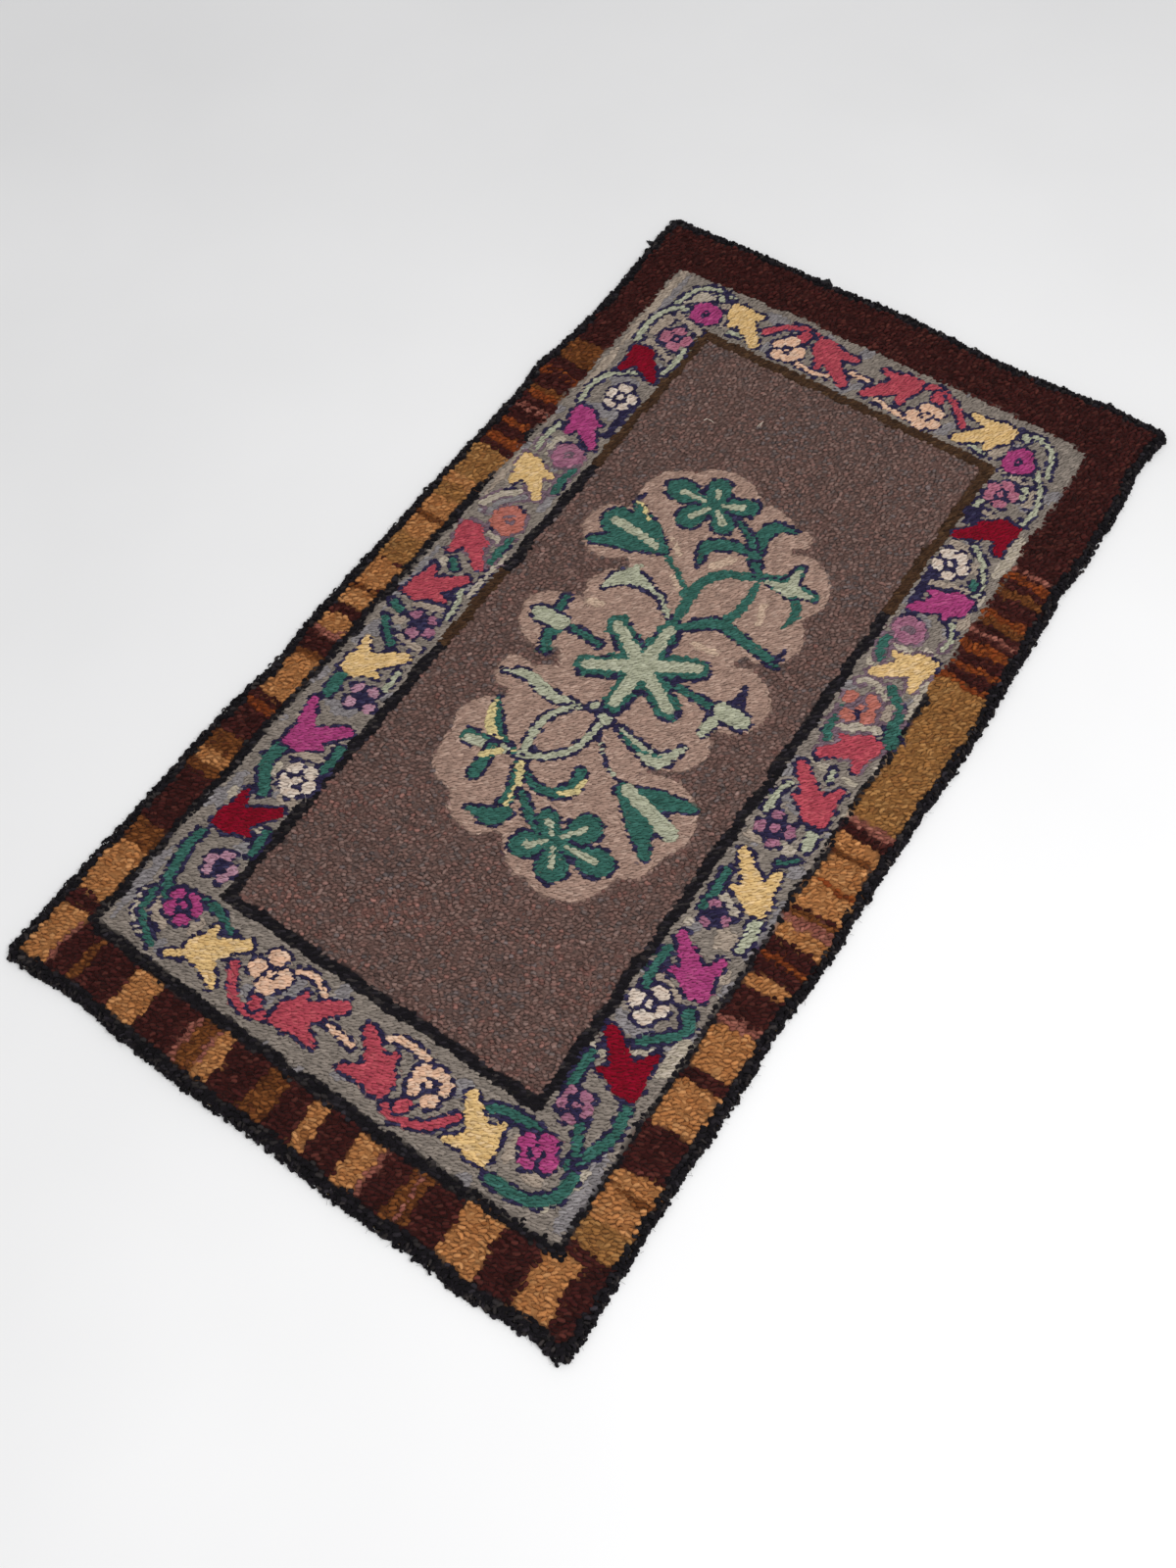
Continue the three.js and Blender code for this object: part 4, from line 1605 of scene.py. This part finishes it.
def round_corners(x, y, depth):
    """Draws the spots near the rug's four corners in to its rounded outline."""
    across = np.maximum(CORNER_ROUND + depth - (RUG_WIDTH / 2 - np.abs(x)), 0)
    along = np.maximum(CORNER_ROUND + depth - (RUG_LENGTH / 2 - np.abs(y)), 0)
    far_out = np.maximum(np.hypot(across, along), 1e-6)
    pull = np.where((across > 0) & (along > 0), np.maximum(depth - inset(x, y), 0), 0)
    return x - np.sign(x) * pull * across / far_out, y - np.sign(y) * pull * along / far_out


def is_close(x, y):
    """Whether each spot is in the closely hooked border or medallion."""
    plain = in_field(x, y) & (past_cloud(x, y) > 0)
    return (past_ground(x, y) < 0) & ~plain


def pile_bed(context, name, material):
    """The close feet of the loops, which show as the dark depth between them: real depth, and painted
    shade in their colour.
    """
    corners, faces = plate(BED_INSET, BED_STEP, at_height(CLOTH_TOP), bed_top, True)
    piece = new_piece(name, corners, faces, material)
    draw = np.random.default_rng(context.scene.rug_pile.seed)
    number = draw_rug(*corners[:, :2].T)
    # Painted shade: the bed's wool colour is darkened, less under the close pile than elsewhere.
    shade = np.where(is_close(*corners[:, :2].T), CLOSE_BED.shade, LOFTY_BED.shade)
    store_dye_and_shade(piece, loop_dyes(context.scene.rug_wools, number, draw) * shade[:, None])


def bed_top(x, y):
    """Height of the loops' bed, which falls away under the hooked edge."""
    fall = BED_FALL * np.exp(-np.maximum(inset(x, y) - BED_INSET, 0) / BED_FALL_REACH)
    depth = np.where(is_close(x, y), CLOSE_BED.depth, LOFTY_BED.depth)
    return (pile_top(x, y) - depth) * (1 - fall)


def foundation(name, material):
    """The coarse cloth that the loops are hooked through, seen from below."""
    corners, faces = plate(CLOTH_INSET, CLOTH_STEP, at_height(FLOOR_GAP), at_height(CLOTH_TOP))
    piece = new_piece(name, corners, faces, material)
    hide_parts("hooked_mat")
    return piece


# ---- Loose ends -------------------------------------------------------------------------------


def thread_mesh(paths, thick):
    """Corners and faces of many threads: paths is threads by points by 3, in mm."""
    n, k = paths.shape[:2]
    run = np.gradient(paths, axis=1)
    run /= np.linalg.norm(run, axis=2)[..., None]
    side = np.cross(run, [0.0, 0.0, 1.0])
    side /= np.maximum(np.linalg.norm(side, axis=2), 1e-6)[..., None]
    over = np.cross(side, run)
    half = (thick / 2)[:, None, None]
    rings = [
        paths + half * (side * math.cos(turn) + over * math.sin(turn))
        for turn in np.radians([90, 210, 330])
    ]
    corners = np.stack(rings, axis=2).reshape(-1, 3)
    quads = []
    for ring in range(k - 1):
        for i in range(3):
            j = (i + 1) % 3
            quads.append((3 * ring + j, 3 * ring + i, 3 * ring + 3 + i, 3 * ring + 3 + j))
    ends = [(0, 1, 2), (3 * k - 1, 3 * k - 2, 3 * k - 3)]
    return corners, repeated((ends, quads), n, 3 * k)


# Specks of pale lint caught in the plain field.
LINT = [(-124, 344), (-122, 346), (-64, 365), (-66, 363)]
LINT_THICK = 0.8

# Hairs of wool that have worked loose, in mm: how many lie on the pile and over what part of it,
# where those at the rim start and how far apart, their lengths on the pile and at the rim.
HAIRS = 260
HAIR_FIELD = (335, 610)
RIM_HAIR_INSET, RIM_HAIR_PITCH = 3.0, 9.0
HAIR_LENGTHS, RIM_HAIR_LENGTHS = (6, 16), (4, 8)
HAIR_THICK = (0.14, 0.26)
HAIR_POINTS = 5
HAIR_SEED = 90
# Past this depth inside the outline the hairs droop by a share of their height.
DROOP_INSET, DROOP = 6.0, 0.62


def stray_fibres(context, name, material):
    """Hairs of wool that have worked loose: most lie on the pile, some stand off the rim."""
    wools = context.scene.rug_wools
    draw = np.random.default_rng(context.scene.rug_pile.seed + HAIR_SEED)
    steps = np.linspace(0, 1, HAIR_POINTS)
    wide, long = HAIR_FIELD
    on_pile = draw.uniform((-wide, -long), (wide, long), (HAIRS, 2))
    on_pile = np.concatenate([on_pile, LINT])
    spots, out = rim(RIM_HAIR_INSET, RIM_HAIR_PITCH)
    foot = np.concatenate([on_pile, spots])
    n = len(foot)
    outward = np.arctan2(out[:, 1], out[:, 0]) + draw.normal(0, 0.7, len(out))
    way = np.concatenate([draw.uniform(0, 2 * math.pi, len(on_pile)), outward])
    length = np.concatenate(
        [draw.uniform(*HAIR_LENGTHS, len(on_pile)), draw.uniform(*RIM_HAIR_LENGTHS, len(out))]
    )
    bend = draw.normal(0, 0.9, n)
    turned = way[:, None] + bend[:, None] * steps[None]
    x = foot[:, :1] + np.cumsum(np.cos(turned), axis=1) * length[:, None] / HAIR_POINTS
    y = foot[:, 1:] + np.cumsum(np.sin(turned), axis=1) * length[:, None] / HAIR_POINTS
    clear = 0.5 + np.sin(math.pi * steps)[None] * draw.random(n)[:, None]
    past = np.clip(-(inset(x, y) - DROOP_INSET) / DROOP_INSET, 0, 1)
    height = (pile_top(x, y) + clear) * (1 - DROOP * past)
    on_lint = slice(len(on_pile) - len(LINT), len(on_pile))
    thick = draw.uniform(*HAIR_THICK, n)
    thick[on_lint] = LINT_THICK
    corners, faces = thread_mesh(np.stack([x, y, height], axis=2), thick)
    piece = new_piece(name, corners, faces, material)
    number = draw_rug(x[:, 0], y[:, 0])
    number[on_lint] = WOOL_NUMBER["cream"]
    colours = loop_dyes(wools, number, draw) * 1.5 + 0.02
    store_dye_and_shade(piece, np.repeat(colours, 3 * HAIR_POINTS, axis=0))


# A cut end of the black tape that binds the hem: its node, the way it points out, and how many
# threads have come loose from it.
TapeEnd = namedtuple("TapeEnd", "node way_x way_y threads")
TAPE_ENDS = [
    TapeEnd("binding_tape_end_far", 0, 1, 7),
    TapeEnd("binding_tape_end_left", -1, 0, 5),
]
TAPE_THICK = 0.5
TAPE_RUN, TAPE_ACROSS = 10, 6  # faces along the tape and across it
TAPE_GAP, TAPE_LIFT = 0.35, 1.1  # how far it lies off the floor, and its tip above that
THREAD_THICK = 0.35
THREAD_POINTS = 6


def tape_end(end, material):
    """A cut corner of twill tape that pokes out from under the hem, with its threads."""
    low, high = (np.array(corner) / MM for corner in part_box(end.node))
    draw = np.random.default_rng(len(end.node))
    out, across = np.array([end.way_x, end.way_y]), np.array([-end.way_y, end.way_x])
    middle = (low[:2] + high[:2]) / 2
    half_run = abs((high - low)[:2] @ out) / 2
    half_width = abs((high - low)[:2] @ across) / 2
    t, w = np.meshgrid(
        np.linspace(-1, 1, TAPE_RUN + 1), np.linspace(-1, 1, TAPE_ACROSS + 1), indexing="ij"
    )
    ragged = 1 + 0.05 * draw.normal(size=t.shape) * (np.abs(w) > 0.9)
    taper = np.clip((1 - t) / 1.25, 0.04, 1) * ragged
    plan = middle + out * (t * half_run)[..., None] + across * (w * half_width * taper)[..., None]
    lift = TAPE_GAP + TAPE_LIFT * np.clip(t, 0, 1) ** 2 + 0.12 * np.sin(5 * w + 3 * t)
    faces = [np.dstack([plan, z]).reshape(-1, 3) for z in (lift + TAPE_THICK, lift)]
    top, side, _ = slab(np.arange(t.size).reshape(t.shape).T)
    quads = np.concatenate([top, top[:, ::-1] + t.size, side])
    name = end.node + "_twill"
    piece = new_piece(name, np.concatenate(faces), [quads], material)
    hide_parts(end.node)

    steps = np.linspace(0, 1, THREAD_POINTS)
    start = draw.uniform(-0.7, 0.7, end.threads)
    reach = draw.uniform(0.25, 0.75, end.threads)
    sway = draw.normal(0, 1.1, end.threads)
    along = (0.35 - np.abs(start) * 0.6)[:, None] + reach[:, None] * steps
    spread = start[:, None] * half_width * 0.8 + sway[:, None] * steps**2
    paths = middle + out * (np.minimum(along, 1.0) * half_run)[..., None]
    paths = paths + across * spread[..., None]
    height = 0.9 + np.clip(along, 0, 1) + 0.3 * np.sin(6 * steps)[None]
    thick = np.full(end.threads, THREAD_THICK)
    corners, quads = thread_mesh(np.dstack([paths, height]), thick)
    new_piece(end.node + "_threads", corners, quads, material)


# ---- Materials of the cloths and the floor ----------------------------------------------------


def jute_hessian(name, count):
    """Plain-woven undyed jute yarn, with about count threads to the centimetre each way.

    The eye sees a dull straw cloth of crossed, uneven threads with dark holes between.
    """
    material, output = new_material(name)
    tree = material.node_tree
    place = add_node(tree, "ShaderNodeTexCoord")
    warp, weft = [
        add_node(
            tree,
            "ShaderNodeTexWave",
            [("Vector", place.outputs["Object"])],
            wave_type="BANDS",
            bands_direction=direction,
            in_Scale=count * 100 / math.pi,
            in_Distortion=0.8,
            in_Detail=2.0,
            in_Detail_Scale=1.5,
        )
        for direction in ("X", "Y")
    ]
    weave = add_node(
        tree,
        "ShaderNodeMath",
        [(0, warp.outputs["Fac"]), (1, weft.outputs["Fac"])],
        operation="MAXIMUM",
    )
    ramp = add_node(tree, "ShaderNodeValToRGB", [("Fac", weave.outputs["Value"])])
    ramp.color_ramp.elements[0].position = 0.35
    ramp.color_ramp.elements[0].color = (*linear("#4a3a26"), 1)
    ramp.color_ramp.elements[1].color = (*linear("#a98c62"), 1)
    relief = add_node(
        tree,
        "ShaderNodeBump",
        [("Height", weave.outputs["Value"])],
        in_Strength=0.9,
        in_Distance=0.5 * MM,
    )
    shader = add_node(
        tree,
        "ShaderNodeBsdfPrincipled",
        [("Base Color", ramp.outputs["Color"]), ("Normal", relief.outputs["Normal"])],
        in_Roughness=0.88,
        in_IOR=1.5,
        in_Specular_IOR_Level=0.3,
    )
    tree.links.new(shader.outputs["BSDF"], output.inputs["Surface"])
    return material


def cotton_twill(name, pitch):
    """Black cotton tape woven in twill. Its slanting ribs are a third over pitch mm apart.

    The eye sees a flat, slightly dusty black with fine slanting ribs.
    """
    material, output = new_material(name)
    tree = material.node_tree
    place = add_node(tree, "ShaderNodeTexCoord")
    ribs = add_node(
        tree,
        "ShaderNodeTexWave",
        [("Vector", place.outputs["Object"])],
        wave_type="BANDS",
        bands_direction="DIAGONAL",
        in_Scale=1 / (pitch * MM) / 3,
        in_Distortion=0.5,
    )
    ramp = add_node(tree, "ShaderNodeValToRGB", [("Fac", ribs.outputs["Fac"])])
    ramp.color_ramp.elements[0].color = (*linear("#0b0b0d"), 1)
    ramp.color_ramp.elements[1].color = (*linear("#232327"), 1)
    relief = add_node(
        tree,
        "ShaderNodeBump",
        [("Height", ribs.outputs["Fac"])],
        in_Strength=0.6,
        in_Distance=0.2 * MM,
    )
    shader = add_node(
        tree,
        "ShaderNodeBsdfPrincipled",
        [("Base Color", ramp.outputs["Color"]), ("Normal", relief.outputs["Normal"])],
        in_Roughness=0.85,
        in_IOR=1.5,
        in_Specular_IOR_Level=0.3,
        in_Sheen_Weight=0.1,
    )
    tree.links.new(shader.outputs["BSDF"], output.inputs["Surface"])
    return material


def painted_floor(name):
    """A smooth floor with matte white paint: near even, with faint broad unevenness."""
    material, output = new_material(name)
    tree = material.node_tree
    place = add_node(tree, "ShaderNodeTexCoord")
    cloud = add_node(
        tree,
        "ShaderNodeTexNoise",
        [("Vector", place.outputs["Object"])],
        in_Scale=2.2,
        in_Detail=3.0,
    )
    ramp = add_node(tree, "ShaderNodeValToRGB", [("Fac", cloud.outputs["Fac"])])
    ramp.color_ramp.elements[0].position = 0.3
    ramp.color_ramp.elements[0].color = (*linear("#eeeeee"), 1)
    ramp.color_ramp.elements[1].position = 0.7
    ramp.color_ramp.elements[1].color = (*linear("#f3f3f3"), 1)
    shader = add_node(
        tree,
        "ShaderNodeBsdfPrincipled",
        [("Base Color", ramp.outputs["Color"])],
        in_Roughness=0.75,
        in_IOR=1.5,
        in_Specular_IOR_Level=0.2,
    )
    tree.links.new(shader.outputs["BSDF"], output.inputs["Surface"])
    return material


# ---- Camera and light -------------------------------------------------------------------------

CAMERA_TARGET = (0.0381, -0.1403, 0.009)
CAMERA_DISTANCE = 1.5058
CAMERA_BEARING = 38.735 - 90.0
CAMERA_ELEVATION = 62.081
CAMERA_ROLL = -4.769
CAMERA_LENS = 33.23
CAMERA_SENSOR = 36.0  # mm, on the long side

# Soft lamp: bearing from the rug's middle, height angle, distance in metres, size in metres.
LAMP_BEARING = -20.0
LAMP_HEIGHT = 58.0
LAMP_DISTANCE = 2.3
LAMP_SIZE = 1.4


def way_to(bearing, height):
    """The way from the rug to a place at a bearing and a height angle, in degrees."""
    bearing, height = math.radians(bearing), math.radians(height)
    flat = math.cos(height)
    return Vector((math.cos(bearing) * flat, math.sin(bearing) * flat, math.sin(height)))


def place_camera():
    """The camera above the near right of the rug, looking down at it."""
    back = way_to(CAMERA_BEARING, CAMERA_ELEVATION)
    right = (-back).cross(Vector((0, 0, 1))).normalized()
    up = right.cross(-back)
    roll = math.radians(CAMERA_ROLL)
    turned = math.cos(roll) * right + math.sin(roll) * up
    upright = math.cos(roll) * up - math.sin(roll) * right
    place = Vector(CAMERA_TARGET) + back * CAMERA_DISTANCE
    data = bpy.data.cameras.new("camera")
    data.lens = CAMERA_LENS
    data.sensor_width = CAMERA_SENSOR
    camera = bpy.data.objects.new("camera", data)
    axes = Matrix((turned, upright, back)).transposed()
    camera.matrix_world = Matrix.Translation(place) @ axes.to_4x4()
    bpy.context.collection.objects.link(camera)
    bpy.context.scene.camera = camera


def place_lamp(power):
    """One large soft lamp, high on the near right."""
    way = way_to(LAMP_BEARING, LAMP_HEIGHT)
    data = bpy.data.lights.new("soft_lamp", "AREA")
    data.shape = "DISK"
    data.size = LAMP_SIZE
    data.energy = power
    lamp = bpy.data.objects.new("soft_lamp", data)
    lamp.location = way * LAMP_DISTANCE
    lamp.rotation_mode = "QUATERNION"
    lamp.rotation_quaternion = way.to_track_quat("Z", "Y")
    bpy.context.collection.objects.link(lamp)


# ---- Operators --------------------------------------------------------------------------------

class RUG_OT_studio(bpy.types.Operator):
    """Makes the floor, the light and the camera"""

    bl_idname = "rug.studio"
    bl_label = "Set the studio"

    def execute(self, context):
        studio = context.scene.rug_studio
        half = studio.floor_size / 2
        mesh = bpy.data.meshes.new("floor")
        corners = [(-half, -half, 0), (half, -half, 0), (half, half, 0), (-half, half, 0)]
        mesh.from_pydata(corners, [], [(0, 1, 2, 3)])
        mesh.materials.append(painted_floor("Floor paint, matte white"))
        floor = bpy.data.objects.new("floor", mesh)
        context.collection.objects.link(floor)
        world = bpy.data.worlds.new("white room")
        world.use_nodes = True
        background = world.node_tree.nodes["Background"]
        background.inputs["Color"].default_value = (*linear("#f6f6f7"), 1)
        background.inputs["Strength"].default_value = studio.sky
        context.scene.world = world
        context.scene.view_settings.view_transform = "Standard"
        place_lamp(studio.lamp_power)
        place_camera()
        return {"FINISHED"}


class RUG_OT_pile(bpy.types.Operator):
    """Hooks the wool loops of the band, the border and the field, and their bed"""

    bl_idname = "rug.pile"
    bl_label = "Hook the pile"

    def execute(self, context):
        close = wool_yarn("Wool yarn, close hooked", 0.9, 0.3, 9.0, 0.06)
        lofty = wool_yarn("Wool yarn, lofty and loosely hooked", 1.2, 0.6, 13.0, 0.10)
        for seed, piece in enumerate(PILE_PIECES):
            pile_loops(context, piece, close if piece.lie is CLOSE else lofty, seed)
        pile_bed(context, "pile_bed", close)
        return {"FINISHED"}


class RUG_OT_edge(bpy.types.Operator):
    """Hooks the black edge that leans over the hem"""

    bl_idname = "rug.edge"
    bl_label = "Hook the edge"

    def execute(self, context):
        wool = wool_yarn("Wool yarn, black edge", 1.2, 0.9, 13.0, 0.16)
        edge_loops(context, "pile_edge", wool, EDGE_SEED)
        return {"FINISHED"}


class RUG_OT_loose_ends(bpy.types.Operator):
    """Makes the stray fibres and the cut ends of the binding tape"""

    bl_idname = "rug.loose_ends"
    bl_label = "Add the loose ends"

    def execute(self, context):
        hair = wool_yarn("Wool fibres, worked loose", 0.9, 0.1, 9.0, 0.16)
        stray_fibres(context, "stray_fibres", hair)
        twill = cotton_twill("Cotton tape, black twill", 0.8)
        for end in TAPE_ENDS:
            tape_end(end, twill)
        return {"FINISHED"}


class RUG_OT_foundation(bpy.types.Operator):
    """Lays the jute cloth that everything is hooked through; it comes last"""

    bl_idname = "rug.foundation"
    bl_label = "Lay the foundation cloth"

    def execute(self, context):
        cloth = foundation("foundation_cloth", jute_hessian("Jute hessian, plain woven", 4.5))
        return {"FINISHED"}


OPERATORS = [RUG_OT_studio, RUG_OT_pile, RUG_OT_edge, RUG_OT_loose_ends, RUG_OT_foundation]


class RUG_PT_making(bpy.types.Panel):
    """The steps of making the rug, with their sizes and colours"""

    bl_idname = "RUG_PT_making"
    bl_label = "Hooked rug"
    bl_space_type = "VIEW_3D"
    bl_region_type = "UI"
    bl_category = "Hooked rug"

    def draw(self, context):
        scene = context.scene
        for group in (scene.rug_pile, scene.rug_wools, scene.rug_studio):
            box = self.layout.box()
            for name in type(group).__annotations__:
                box.prop(group, name)
        for operator in OPERATORS:
            self.layout.operator(operator.bl_idname)


CLASSES = [RugPile, RugWools, RugStudio, *OPERATORS, RUG_PT_making]


def register():
    for cls in CLASSES:
        bpy.utils.register_class(cls)
    bpy.types.Scene.rug_pile = PointerProperty(type=RugPile)
    bpy.types.Scene.rug_wools = PointerProperty(type=RugWools)
    bpy.types.Scene.rug_studio = PointerProperty(type=RugStudio)


def unregister():
    del bpy.types.Scene.rug_studio
    del bpy.types.Scene.rug_wools
    del bpy.types.Scene.rug_pile
    for cls in reversed(CLASSES):
        bpy.utils.unregister_class(cls)


def main():
    register()
    bpy.ops.rug.studio()
    bpy.ops.rug.pile()
    bpy.ops.rug.edge()
    bpy.ops.rug.loose_ends()
    bpy.ops.rug.foundation()


if __name__ == "__main__":
    main()
